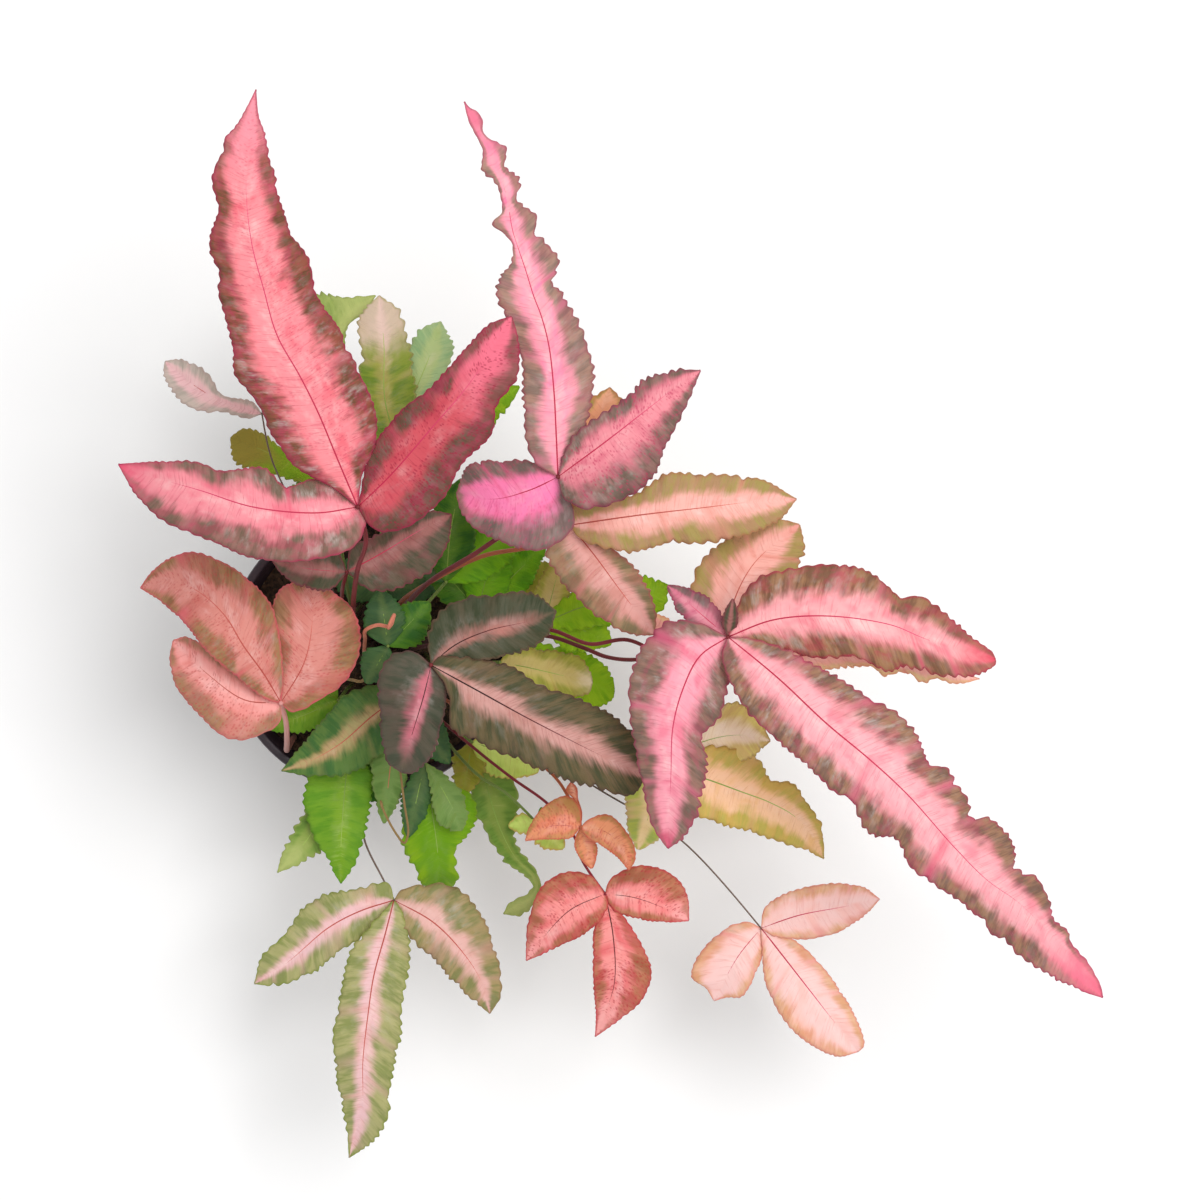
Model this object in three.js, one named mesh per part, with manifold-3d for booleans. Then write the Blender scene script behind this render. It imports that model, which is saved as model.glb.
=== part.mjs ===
// A brake fern in a round plastic nursery pot: the pot, its soil and every frond as one closed solid each.
// Millimetres, +Z up. The origin is the middle of the pot's underside.
import * as THREE from 'three';
import { mergeVertices } from 'three/addons/utils/BufferGeometryUtils.js';
import Module from 'manifold-3d';

const wasm = await Module();
wasm.setup();

// Driving dimensions of the pot and its soil
const POT = {
  height: 105,
  rimRadius: 60,
  baseRadius: 42,
  wall: 1.6,
  floor: 2.4,
  bandHeight: 13,
  bandDepth: 2.2,
  footEdge: [1, 1.5],
  lip: 1,
  lipEdge: 0.5,
  sides: 28,
};
const DRAIN = { count: 6, radius: 4, ring: 28, sides: 8 };
const SOIL = { top: 92, lump: 1.4, rings: 3 };
const GAP = 0.3;

// Driving dimensions of the fronds
const BLADE = {
  thickness: 0.7,
  leastHalfWidth: 0.5,
  first: 0.3,
  last: 0.8,
  step: 1.3,
  sag: 0.16,
  swell: 0.6,
};
const TOOTH = { depth: 1.4, notch: 0.6 };
const WAVE = { share: 0.14, most: 1.8, teeth: 3.2, slant: 1.7 };
const PLAIN = { fullest: 0.42, base: 1.1, end: 0.75 };
const COIL = { steps: 10, closing: 0.62, set: 1.5 };
const STEM = { sides: 5, rootDepth: 11, straight: 5, hubReach: 0.7, holeSides: 6, holeGap: 0.6 };

// Leaves are set out on a plan seen from straight above: a square of 1200 units, y downwards, drawn from
// a viewpoint at `height` over the floor point (x, y), with `reach` units to the plan for a slope of one.
const PLAN = { height: 1500, reach: 3324, middle: 600, x: 96.5, y: 21 };

/** Carries a plan point to the height z along its line of sight. */
function place(px, py, z) {
  const scale = (PLAN.height - z) / PLAN.reach;
  return new THREE.Vector3(PLAN.x + (px - PLAN.middle) * scale, PLAN.y - (py - PLAN.middle) * scale, z);
}

/** The length in millimetres of one plan unit at the height z. */
const unitAt = (z) => (PLAN.height - z) / PLAN.reach;

// Each frond has its hub [px, py, z] on the plan, its stem's radius and route, and its leaflets. A leaflet
// runs from the hub to its tip. Its outline is either a rib with a left and a right edge, as seen walking
// to the tip, or a width with a bend. `rise` is the height of its middle and tip over the hub. `root` is
// how far from the pot's axis the stem enters the soil, or its plan point there.
const FRONDS = [
  {
    name: 'frond_pink_back_left',
    colour: 0xe5707f,
    hub: [358, 507, 250],
    stem: 1.1,
    root: 5,
    via: [[352, 644, 150], [353, 612, 180], [354, 594, 203], [358, 568, 224], [366, 540, 238]],
    leaves: [
      {
        tip: [256, 89],
        rise: [24, 2],
        teeth: 11,
        rib: [[338, 460], [318, 412], [300, 376], [277, 335], [264, 290], [251, 239], [246, 177]],
        left: [[332, 487], [310, 476], [292, 463], [281, 447], [270, 432], [264, 414], [254, 398],
          [241, 383], [235, 374], [233, 350], [229, 330], [223, 308], [218, 290], [220, 276],
          [218, 267], [212, 256], [210, 244], [211, 232], [216, 219], [219, 210], [217, 199],
          [213, 187], [213, 176], [218, 161], [224, 150], [225, 139], [234, 129], [245, 111]],
        right: [[363, 471], [372, 452], [377, 434], [376, 416], [371, 399], [364, 383],
          [358, 372], [352, 355], [345, 348], [341, 333], [333, 320], [323, 306], [314, 290],
          [312, 275], [307, 256], [298, 244], [291, 236], [288, 225], [282, 208], [277, 190],
          [275, 175], [269, 161], [267, 146], [264, 132], [259, 118]],
      },
      {
        tip: [512, 316],
        rise: [15, 20],
        teeth: 7,
        rib: [[388, 478], [430, 430], [472, 380]],
        left: [[362, 486], [372, 448], [398, 414], [432, 382], [447, 362], [462, 340], [478, 324],
          [497, 318]],
        right: [[375, 530], [406, 527], [442, 499], [463, 463], [491, 434], [497, 405], [519, 376],
          [520, 336]],
      },
      {
        tip: [118, 464],
        rise: [9, -18],
        teeth: 7,
        rib: [[317, 513], [253, 507], [202, 491], [151, 476]],
        left: [[366, 522], [355, 545], [317, 559], [253, 558], [215, 542], [166, 522], [136, 494]],
        right: [[345, 493], [317, 479], [286, 486], [263, 468], [222, 471], [194, 462], [136, 463]],
      },
    ],
  },
  {
    name: 'frond_brown_back_left',
    colour: 0x8a6558,
    hub: [347, 572, 208],
    stem: 0.9,
    root: 12,
    via: [[344, 628, 150], [342, 593, 181]],
    leaves: [
      {
        tip: [452, 514],
        rise: [3, 1],
        teeth: 4,
        rib: [[382, 553], [424, 528]],
        left: [[352, 548], [388, 530], [428, 511]],
        right: [[370, 589], [401, 587], [431, 570], [449, 538]],
      },
      {
        tip: [272, 561],
        rise: [2, -7],
        teeth: 3,
        rib: [[310, 569]],
        left: [[330, 589], [305, 587], [284, 576]],
        right: [[335, 550], [305, 546], [284, 552]],
      },
    ],
  },
  {
    name: 'frond_pink_back_middle',
    colour: 0xe77f96,
    hub: [558, 477, 250],
    stem: 1.1,
    root: 5,
    via: [[405, 606, 168], [432, 580, 193], [482, 549, 216], [530, 512, 238]],
    leaves: [
      {
        tip: [464, 101],
        rise: [6, -14],
        teeth: 11,
        rib: [[556, 430], [554, 392], [549, 346], [541, 315], [534, 297], [525, 268], [513, 232],
          [507, 199], [496, 165], [484, 140], [472, 117]],
        left: [[533, 460], [524, 407], [523, 366], [512, 333], [504, 312], [497, 290], [502, 275],
          [511, 265], [512, 244], [502, 232], [493, 223], [502, 213], [501, 202], [498, 187],
          [492, 178], [483, 170], [483, 150], [477, 138], [471, 126], [467, 115]],
        right: [[580, 440], [593, 381], [585, 340], [572, 312], [561, 292], [551, 284],
          [558, 270], [558, 258], [550, 249], [543, 239], [535, 233], [537, 218], [530, 211],
          [522, 206], [516, 199], [520, 186], [516, 176], [507, 170], [504, 164], [507, 149],
          [499, 142], [488, 138], [483, 131], [482, 119], [476, 111], [470, 108]],
      },
      {
        tip: [701, 370],
        rise: [8, -6],
        teeth: 5,
        rib: [[600, 446], [640, 415], [675, 388]],
        left: [[563, 458], [575, 436], [598, 417], [623, 401], [642, 382], [674, 371]],
        right: [[566, 500], [590, 509], [623, 498], [650, 480], [668, 441], [687, 403]],
      },
      {
        tip: [456, 494],
        rise: [-8, -22],
        teeth: 5,
        rib: [[530, 490], [495, 499]],
        left: [[573, 510], [570, 532], [537, 550], [499, 540], [465, 519]],
        right: [[554, 470], [538, 463], [504, 461], [470, 465]],
      },
    ],
  },
  {
    name: 'frond_salmon_back_right',
    colour: 0xe3a08a,
    hub: [570, 525, 222],
    stem: 1,
    root: 11,
    via: [[398, 606, 150], [420, 588, 174], [480, 557, 191], [545, 543, 213]],
    leaves: [
      {
        tip: [797, 499],
        rise: [8, -13],
        teeth: 5,
        rib: [[640, 515], [700, 508], [752, 502]],
        left: [[572, 508], [600, 500], [635, 495], [666, 475], [701, 475], [760, 480]],
        right: [[580, 538], [602, 546], [626, 552], [668, 543], [722, 541], [779, 519]],
      },
      {
        tip: [655, 635],
        rise: [-4, -15],
        teeth: 4,
        rib: [[595, 556], [626, 598]],
        left: [[592, 530], [609, 546], [626, 560], [643, 580], [655, 612]],
        right: [[547, 548], [561, 581], [584, 604], [610, 624], [636, 635]],
      },
      {
        tip: [610, 387],
        rise: [1, -10],
        teeth: 3,
        rib: [[582, 470], [598, 420]],
        left: [[558, 490], [567, 430], [590, 400]],
        right: [[600, 490], [614, 440], [624, 404]],
      },
    ],
  },
  {
    name: 'frond_pink_right',
    colour: 0xea8490,
    hub: [728, 637, 240],
    stem: 1.1,
    root: 8,
    via: [[430, 640, 136], [500, 637, 156], [547, 636, 168], [584, 648, 179], [607, 657, 187],
      [644, 659, 204]],
    leaves: [
      {
        tip: [1103, 998],
        rise: [15, -40],
        teeth: 11,
        rib: [[779, 679], [827, 724], [869, 759], [907, 794], [955, 848], [987, 880], [1019, 903],
          [1065, 950]],
        left: [[747, 638], [789, 651], [824, 670], [853, 688], [872, 699], [891, 710], [912, 729],
          [921, 742], [926, 759], [930, 766], [946, 768], [953, 777], [963, 793], [969, 806],
          [969, 816], [990, 819], [1002, 830], [1011, 842], [1015, 857], [1014, 865], [1023, 873],
          [1036, 878], [1045, 893], [1050, 902], [1053, 915], [1055, 921], [1067, 931],
          [1070, 942], [1087, 962], [1094, 973], [1101, 987]],
        right: [[722, 655], [735, 690], [760, 724], [792, 752], [822, 779], [836, 793],
          [844, 796], [855, 808], [864, 826], [875, 835], [895, 838], [904, 850], [908, 862],
          [917, 874], [935, 886], [960, 900], [969, 908], [977, 915], [985, 919], [989, 931],
          [997, 937], [1005, 938], [1014, 949], [1027, 960], [1045, 972], [1060, 981],
          [1072, 985], [1085, 992]],
      },
      {
        tip: [996, 660],
        rise: [10, -13],
        teeth: 7,
        rib: [[773, 620], [827, 616], [891, 625], [923, 638], [968, 653]],
        left: [[738, 605], [757, 580], [799, 568], [837, 565], [854, 567], [873, 575], [885, 583],
          [893, 592], [900, 598], [911, 598], [921, 597], [932, 604], [944, 613], [958, 625],
          [970, 637], [982, 645], [992, 652]],
        right: [[740, 640], [760, 643], [800, 654], [818, 657], [840, 656], [854, 656],
          [866, 662], [890, 671], [897, 668], [904, 665], [913, 668], [935, 674], [950, 676],
          [963, 678], [977, 674], [987, 670], [995, 665]],
      },
      {
        tip: [668, 849],
        rise: [4, -16],
        teeth: 7,
        rib: [[700, 656], [683, 689], [673, 727], [671, 775], [669, 817]],
        left: [[730, 660], [719, 716], [702, 737], [706, 760], [697, 813], [682, 838]],
        right: [[700, 624], [668, 622], [645, 640], [629, 692], [635, 743], [644, 791], [655, 831]],
      },
      { tip: [667, 585], rise: [3, 4], width: 34, teeth: 3 },
      { tip: [733, 598], rise: [6, 10], width: 15, teeth: 2 },
    ],
  },
  {
    name: 'frond_salmon_right',
    colour: 0xdda083,
    hub: [722, 680, 203],
    stem: 0.9,
    root: 14,
    via: [[425, 646, 150], [500, 628, 176], [551, 630, 186], [590, 644, 192], [628, 640, 195],
      [676, 664, 198]],
    leaves: [
      {
        tip: [800, 524],
        rise: [3, 4],
        teeth: 5,
        rib: [[728, 620], [752, 566]],
        left: [[700, 650], [692, 600], [702, 560], [738, 534], [775, 519]],
        right: [[748, 650], [775, 600], [797, 570], [804, 548]],
      },
      {
        tip: [980, 679],
        rise: [6, -16],
        teeth: 5,
        rib: [[800, 656], [880, 660], [940, 671]],
        left: [[760, 650], [800, 640], [880, 645], [940, 662]],
        right: [[760, 680], [800, 672], [853, 667], [873, 667], [883, 675], [895, 673], [911, 675],
          [923, 682], [935, 678], [956, 684]],
      },
      { tip: [643, 612], rise: [-3, -9], width: 36, teeth: 3 },
    ],
  },
  {
    name: 'frond_olive_right',
    colour: 0xc2a35c,
    hub: [655, 765, 180],
    stem: 0.9,
    root: 14,
    via: [[440, 676, 140], [540, 715, 163]],
    leaves: [
      {
        tip: [824, 859],
        rise: [5, -18],
        teeth: 5,
        rib: [[700, 777], [742, 792], [771, 803], [799, 820]],
        left: [[690, 748], [757, 757], [770, 780], [792, 784], [809, 806], [822, 830]],
        right: [[670, 790], [700, 816], [742, 829], [784, 842]],
      },
      {
        tip: [771, 741],
        rise: [5, 6],
        teeth: 3,
        rib: [[705, 741], [740, 735]],
        left: [[672, 736], [708, 708], [740, 704], [760, 722]],
        right: [[690, 772], [725, 766], [752, 756]],
      },
      { tip: [638, 850], rise: [-10, -30], width: 54, bend: 4, teeth: 3 },
    ],
  },
  {
    name: 'frond_dark_centre',
    colour: 0x6b5a4c,
    hub: [431, 665, 212],
    stem: 1,
    root: 4,
    via: [[408, 660, 170]],
    leaves: [
      {
        tip: [646, 777],
        rise: [5, -10],
        teeth: 7,
        rib: [[480, 692], [535, 722], [590, 750]],
        left: [[440, 657], [461, 658], [510, 665], [536, 684], [570, 696], [612, 716], [640, 742]],
        right: [[448, 690], [453, 727], [480, 743], [520, 760], [548, 773], [592, 786], [632, 794]],
      },
      {
        tip: [557, 611],
        rise: [4, 0],
        teeth: 4,
        rib: [[455, 645], [490, 630], [530, 621]],
        left: [[429, 634], [450, 604], [486, 595], [532, 594]],
        right: [[455, 662], [507, 655], [545, 638]],
      },
      {
        tip: [402, 773],
        rise: [2, -14],
        teeth: 4,
        rib: [[424, 695], [412, 735]],
        left: [[446, 690], [441, 724], [430, 757], [413, 773]],
        right: [[412, 650], [390, 658], [378, 682], [380, 716], [388, 762]],
      },
    ],
  },
  {
    name: 'frond_coral_left',
    colour: 0xd98878,
    hub: [281, 703, 184],
    stem: 1.2,
    root: [294, 738],
    via: [[287, 750, 116], [287, 742, 136], [286, 722, 162]],
    leaves: [
      {
        tip: [140, 588],
        rise: [8, -16],
        teeth: 5,
        rib: [[264, 674], [243, 645], [226, 617], [202, 594], [172, 580]],
        left: [[268, 700], [233, 674], [207, 651], [189, 629], [162, 602]],
        right: [[283, 680], [275, 615], [263, 594], [243, 575], [222, 562], [197, 552], [178, 554],
          [152, 572]],
      },
      {
        tip: [312, 583],
        rise: [7, 2],
        teeth: 5,
        rib: [[304, 663], [312, 625]],
        left: [[272, 678], [272, 614], [279, 590], [294, 582]],
        right: [[292, 712], [319, 700], [341, 686], [355, 666], [360, 634], [352, 609], [333, 592]],
      },
      {
        tip: [173, 640],
        rise: [-3, -19],
        teeth: 5,
        rib: [[245, 700], [210, 676]],
        left: [[280, 722], [263, 733], [245, 740], [224, 737], [202, 717], [177, 687], [170, 660]],
        right: [[262, 690], [238, 668], [207, 648], [187, 637]],
      },
    ],
  },
  {
    name: 'frond_striped_front_left',
    colour: 0xc79a86,
    hub: [394, 900, 128],
    stem: 0.75,
    root: 25,
    via: [[371, 745, 116], [363, 800, 121], [364, 838, 124], [383, 879, 127]],
    leaves: [
      {
        tip: [254, 984],
        rise: [3, -15],
        teeth: 5,
        rib: [[360, 911], [328, 928], [288, 962]],
        left: [[386, 912], [372, 928], [345, 948], [312, 972], [276, 985]],
        right: [[388, 884], [350, 889], [310, 903], [284, 936], [262, 958]],
      },
      {
        tip: [349, 1158],
        rise: [6, -24],
        teeth: 7,
        rib: [[385, 935], [374, 975], [368, 1015], [363, 1060], [362, 1105]],
        left: [[400, 908], [410, 950], [402, 998], [400, 1035], [391, 1077], [387, 1116], [373, 1141]],
        right: [[372, 925], [353, 948], [341, 993], [334, 1032], [337, 1077], [346, 1122]],
      },
      {
        tip: [490, 1014],
        rise: [4, -15],
        teeth: 5,
        rib: [[433, 922], [461, 950], [481, 981]],
        left: [[402, 890], [424, 886], [453, 886], [478, 911], [497, 957], [500, 995]],
        right: [[400, 918], [416, 942], [439, 965], [467, 994]],
      },
    ],
  },
  {
    name: 'frond_crimson_front',
    colour: 0xd9545f,
    hub: [605, 894, 150],
    stem: 0.9,
    root: 15,
    via: [[425, 706, 134], [480, 753, 145], [512, 778, 146], [549, 805, 150], [574, 836, 151],
      [582, 860, 151]],
    leaves: [
      {
        tip: [526, 961],
        rise: [3, -10],
        teeth: 4,
        rib: [[570, 910], [543, 938]],
        left: [[608, 906], [592, 928], [560, 946]],
        right: [[592, 877], [568, 872], [543, 885], [528, 925]],
      },
      {
        tip: [689, 921],
        rise: [3, -8],
        teeth: 3,
        rib: [[632, 897], [664, 908]],
        left: [[610, 880], [638, 866], [668, 872], [686, 892]],
        right: [[614, 910], [640, 919], [668, 922]],
      },
      {
        tip: [595, 1037],
        rise: [2, -18],
        teeth: 4,
        rib: [[613, 935], [614, 985]],
        left: [[620, 912], [640, 940], [651, 970], [645, 995], [622, 1018]],
        right: [[598, 912], [593, 940], [594, 985], [596, 1015]],
      },
    ],
  },
  {
    name: 'frond_orange_front',
    colour: 0xda7b5a,
    hub: [581, 827, 172],
    stem: 0.75,
    root: 10,
    via: [[428, 686, 140], [480, 726, 157], [550, 772, 165], [569, 798, 169]],
    leaves: [
      {
        tip: [525, 841],
        rise: [1, -5],
        teeth: 3,
        rib: [[552, 826]],
        left: [[570, 838], [548, 839]],
        right: [[579, 806], [567, 796], [545, 806], [530, 826]],
      },
      {
        tip: [629, 871],
        rise: [3, -3],
        teeth: 3,
        rib: [[606, 832], [624, 850]],
        left: [[588, 820], [608, 815], [627, 833], [636, 856]],
        right: [[586, 836], [604, 847], [618, 858]],
      },
      { tip: [592, 869], rise: [-4, -8], width: 22, teeth: 3 },
      { tip: [573, 781], rise: [0, 2], width: 13, teeth: 3 },
    ],
  },
  {
    name: 'frond_pale_front_right',
    colour: 0xf0bfae,
    hub: [761, 928, 130],
    stem: 0.7,
    root: 22,
    via: [[444, 692, 116], [520, 741, 119], [600, 790, 123], [682, 841, 126]],
    leaves: [
      {
        tip: [880, 899],
        rise: [4, -6],
        teeth: 3,
        rib: [[800, 915], [842, 907]],
        left: [[765, 908], [785, 894], [828, 884], [862, 887]],
        right: [[775, 936], [823, 937], [862, 918]],
      },
      {
        tip: [714, 1001],
        rise: [1, -11],
        teeth: 3,
        rib: [[737, 958]],
        left: [[764, 945], [757, 970], [742, 996], [727, 997]],
        right: [[748, 922], [722, 931], [698, 957], [692, 977], [706, 988]],
      },
      {
        tip: [858, 1052],
        rise: [3, -14],
        teeth: 4,
        rib: [[790, 965], [825, 1010]],
        left: [[780, 932], [812, 955], [836, 985], [854, 1015], [864, 1045]],
        right: [[762, 950], [768, 990], [796, 1033], [836, 1056]],
      },
    ],
  },
  {
    name: 'frond_grey_far_left',
    colour: 0xb39c8c,
    hub: [262, 414, 190],
    stem: 0.7,
    root: 15,
    via: [[345, 622, 124], [322, 560, 160], [272, 460, 184]],
    leaves: [
      {
        tip: [165, 361],
        rise: [5, -8],
        teeth: 3,
        rib: [[228, 404], [195, 386]],
        left: [[248, 418], [222, 411], [198, 411], [176, 395], [164, 374]],
        right: [[252, 402], [222, 395], [207, 374], [188, 362], [176, 360]],
      },
      { tip: [300, 380], rise: [2, 0], width: 26, teeth: 3 },
    ],
  },
  {
    name: 'frond_green_back',
    colour: 0x5f9a3a,
    hub: [398, 447, 165],
    stem: 0.8,
    root: 16,
    via: [[378, 600, 126], [383, 520, 150]],
    leaves: [
      {
        tip: [379, 295],
        rise: [3, -2],
        teeth: 5,
        rib: [[385, 400], [384, 345]],
        left: [[375, 440], [358, 390], [362, 350], [357, 322]],
        right: [[412, 430], [415, 385], [407, 340], [396, 308]],
      },
      {
        tip: [441, 321],
        rise: [2, -3],
        teeth: 4,
        rib: [[412, 400], [430, 355]],
        left: [[397, 410], [404, 365], [420, 330]],
        right: [[420, 430], [438, 388], [453, 350]],
      },
      { tip: [520, 386], rise: [2, -4], width: 44, bend: -6, teeth: 4 },
    ],
  },
  {
    name: 'frond_green_far_left',
    colour: 0x7f9c2e,
    hub: [332, 490, 148],
    stem: 0.8,
    root: 20,
    via: [[352, 608, 121], [340, 540, 140]],
    leaves: [
      {
        tip: [230, 438],
        rise: [2, -4],
        teeth: 3,
        rib: [[300, 470], [262, 450]],
        left: [[308, 486], [272, 474], [236, 462]],
        right: [[318, 470], [286, 452], [258, 432], [240, 430]],
      },
      {
        tip: [376, 295],
        rise: [4, 0],
        teeth: 5,
        rib: [[322, 420], [334, 345]],
        left: [[305, 450], [295, 360], [314, 296], [346, 298]],
        right: [[350, 440], [345, 370], [348, 326], [366, 312]],
      },
      { tip: [260, 520], rise: [0, -8], width: 40, teeth: 3 },
    ],
  },
  {
    name: 'frond_green_middle_back',
    colour: 0x3f8a2c,
    hub: [446, 582, 156],
    stem: 0.8,
    root: 18,
    via: [[410, 622, 130]],
    leaves: [
      { tip: [462, 478], rise: [4, 0], width: 50, bend: 3, teeth: 4 },
      { tip: [536, 520], rise: [-2, -8], width: 52, bend: 5, teeth: 4 },
      { tip: [402, 524], rise: [-1, -8], width: 38, teeth: 3 },
    ],
  },
  {
    name: 'frond_green_middle',
    colour: 0x6fae1c,
    hub: [478, 610, 136],
    stem: 0.8,
    root: 22,
    via: [[428, 628, 118]],
    leaves: [
      { tip: [492, 524], rise: [3, -2], width: 50, bend: -3, teeth: 4 },
      { tip: [562, 566], rise: [0, -7], width: 48, teeth: 4 },
      { tip: [546, 544], rise: [1, -3], width: 40, teeth: 3 },
      { tip: [426, 552], rise: [0, -6], width: 42, teeth: 3 },
    ],
  },
  {
    name: 'frond_green_centre_back',
    colour: 0x2f6b3f,
    hub: [386, 592, 112],
    stem: 0.7,
    root: [388, 602],
    via: [],
    leaves: [
      { tip: [326, 566], rise: [2, -2], width: 42, teeth: 3 },
      { tip: [388, 528], rise: [3, 0], width: 44, teeth: 3 },
      { tip: [446, 566], rise: [2, -1], width: 46, teeth: 3 },
    ],
  },
  {
    name: 'frond_green_crown',
    colour: 0x2f6b38,
    hub: [388, 646, 184],
    stem: 0.8,
    root: [376, 652],
    via: [[380, 650, 140]],
    leaves: [
      { tip: [380, 589], rise: [3, -1], width: 41, teeth: 3 },
      { tip: [430, 602], rise: [2, -2], width: 42, teeth: 3 },
      { tip: [366, 684], rise: [-2, -8], width: 34, teeth: 3 },
    ],
  },
  {
    name: 'frond_green_right',
    colour: 0x4fa01c,
    hub: [545, 622, 150],
    stem: 0.8,
    root: 20,
    via: [[436, 646, 124], [500, 634, 142]],
    leaves: [
      { tip: [612, 644], rise: [2, -4], width: 48, bend: 4, teeth: 3 },
      {
        tip: [669, 585],
        rise: [3, -4],
        teeth: 5,
        rib: [[590, 605], [635, 602]],
        left: [[556, 606], [590, 585], [625, 574], [650, 577]],
        right: [[560, 630], [600, 626], [640, 622], [664, 606]],
      },
      { tip: [562, 556], rise: [3, 2], width: 34, teeth: 3 },
    ],
  },
  {
    name: 'frond_olive_middle',
    colour: 0xa69a48,
    hub: [500, 662, 142],
    stem: 0.8,
    root: 23,
    via: [[440, 664, 121]],
    leaves: [
      {
        tip: [593, 682],
        rise: [5, 2],
        teeth: 4,
        rib: [[530, 668], [565, 676]],
        left: [[510, 648], [545, 650], [576, 656], [589, 668]],
        right: [[512, 676], [545, 690], [574, 697], [589, 692]],
      },
      {
        tip: [615, 690],
        rise: [-4, -9],
        teeth: 4,
        rib: [[540, 668], [584, 679]],
        left: [[520, 646], [560, 646], [592, 657], [611, 674]],
        right: [[520, 690], [560, 704], [594, 707], [612, 700]],
      },
      { tip: [560, 742], rise: [-3, -8], width: 40, teeth: 3 },
    ],
  },
  {
    name: 'frond_green_left',
    colour: 0x8cc63a,
    hub: [338, 700, 128],
    stem: 0.75,
    root: 17,
    via: [],
    leaves: [
      { tip: [265, 728], rise: [1, -3], width: 32, bend: 2, teeth: 3 },
      { tip: [285, 668], rise: [0, -5], width: 40, teeth: 3 },
    ],
  },
  {
    name: 'frond_striped_left',
    colour: 0x6f8f4a,
    hub: [398, 697, 152],
    stem: 0.8,
    root: 10,
    via: [],
    leaves: [
      {
        tip: [281, 771],
        rise: [3, -8],
        teeth: 5,
        rib: [[370, 718], [340, 744], [308, 762]],
        left: [[400, 722], [384, 752], [352, 772], [316, 776]],
        right: [[380, 686], [348, 694], [322, 722], [300, 748]],
      },
      { tip: [384, 824], rise: [-2, -10], width: 40, teeth: 4 },
      { tip: [450, 764], rise: [-1, -6], width: 42, teeth: 3 },
    ],
  },
  {
    name: 'frond_green_front_left',
    colour: 0x6cb321,
    hub: [348, 756, 134],
    stem: 0.8,
    root: 24,
    via: [[362, 726, 119]],
    leaves: [
      {
        tip: [341, 884],
        rise: [2, -8],
        teeth: 5,
        rib: [[344, 800], [341, 846]],
        left: [[370, 768], [370, 800], [363, 838], [352, 868]],
        right: [[318, 766], [304, 790], [312, 830], [328, 862]],
      },
      {
        tip: [277, 873],
        rise: [-4, -12],
        teeth: 3,
        rib: [[328, 805], [303, 845]],
        left: [[340, 822], [318, 852], [298, 864]],
        right: [[312, 798], [296, 828], [282, 856]],
      },
      { tip: [396, 806], rise: [1, -4], width: 34, teeth: 3 },
    ],
  },
  {
    name: 'frond_green_front',
    colour: 0x7fc018,
    hub: [425, 762, 144],
    stem: 0.8,
    root: 22,
    via: [[400, 718, 126]],
    leaves: [
      {
        tip: [440, 895],
        rise: [-2, -32],
        teeth: 4,
        rib: [[432, 810], [438, 855]],
        left: [[446, 778], [472, 797], [476, 815], [467, 835], [457, 846], [455, 866], [456, 882]],
        right: [[412, 786], [404, 812], [403, 846], [409, 858], [417, 868], [421, 882]],
      },
      {
        tip: [462, 831],
        rise: [6, 2],
        teeth: 3,
        rib: [[444, 792], [455, 813]],
        left: [[446, 776], [463, 796], [468, 817]],
        right: [[430, 788], [433, 812], [446, 829]],
      },
      { tip: [408, 838], rise: [5, -4], width: 30, teeth: 3 },
    ],
  },
  {
    name: 'frond_green_front_right',
    colour: 0x4e9a2a,
    hub: [472, 742, 126],
    stem: 0.75,
    root: 26,
    via: [[430, 712, 114]],
    leaves: [
      {
        tip: [503, 914],
        rise: [0, -14],
        teeth: 8,
        rib: [[486, 784], [500, 828], [516, 858], [531, 872], [537, 884], [532, 898]],
        left: [[506, 768], [518, 800], [513, 830], [518, 848], [527, 860], [537, 872], [541, 886],
          [536, 902], [520, 915]],
        right: [[468, 776], [476, 812], [491, 840], [505, 860], [514, 868], [527, 877], [533, 886],
          [525, 895], [510, 903]],
      },
      { tip: [539, 772], rise: [2, -2], width: 50, bend: 3, teeth: 4 },
      { tip: [463, 796], rise: [2, 0], width: 34, teeth: 3 },
    ],
  },
  {
    name: 'frond_green_front_small',
    colour: 0xa3c94a,
    hub: [536, 822, 138],
    stem: 0.65,
    root: 20,
    via: [[444, 738, 129], [478, 775, 139], [506, 793, 141]],
    leaves: [
      { tip: [564, 849], rise: [0, -3], width: 30, teeth: 3 },
      { tip: [560, 815], rise: [2, 0], width: 24, teeth: 3 },
      { tip: [508, 826], rise: [-2, -6], width: 20, teeth: 3 },
    ],
  },
];

// Young fronds, still rolled: a thin stem through plan points, ending in a small spiral head
const CROZIERS = [
  {
    name: 'crozier_pink',
    colour: 0xd9805f,
    stem: 0.75,
    root: [366, 664],
    route: [[364, 656, 150], [365, 640, 178], [367, 629, 197], [378, 625, 201], [390, 626, 203]],
    head: { turns: 1.2, radius: 3.6, towards: [398, 607] },
  },
  {
    name: 'crozier_pale',
    colour: 0xb9ac55,
    stem: 0.65,
    root: [344, 672],
    route: [[345, 678, 140], [353, 680, 160], [362, 681, 164], [372, 670, 168]],
    head: { turns: 1, radius: 3.2, towards: [390, 656] },
  },
  {
    name: 'crozier_hooked',
    colour: 0x8a6848,
    stem: 0.65,
    root: [380, 668],
    route: [[384, 674, 140], [392, 688, 172], [399, 760, 180], [404, 801, 176], [408, 834, 169],
      [404, 843, 166], [395, 832, 165], [383, 809, 166]],
    head: { turns: 0.8, radius: 2.2, towards: [380, 796] },
  },
];

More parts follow.
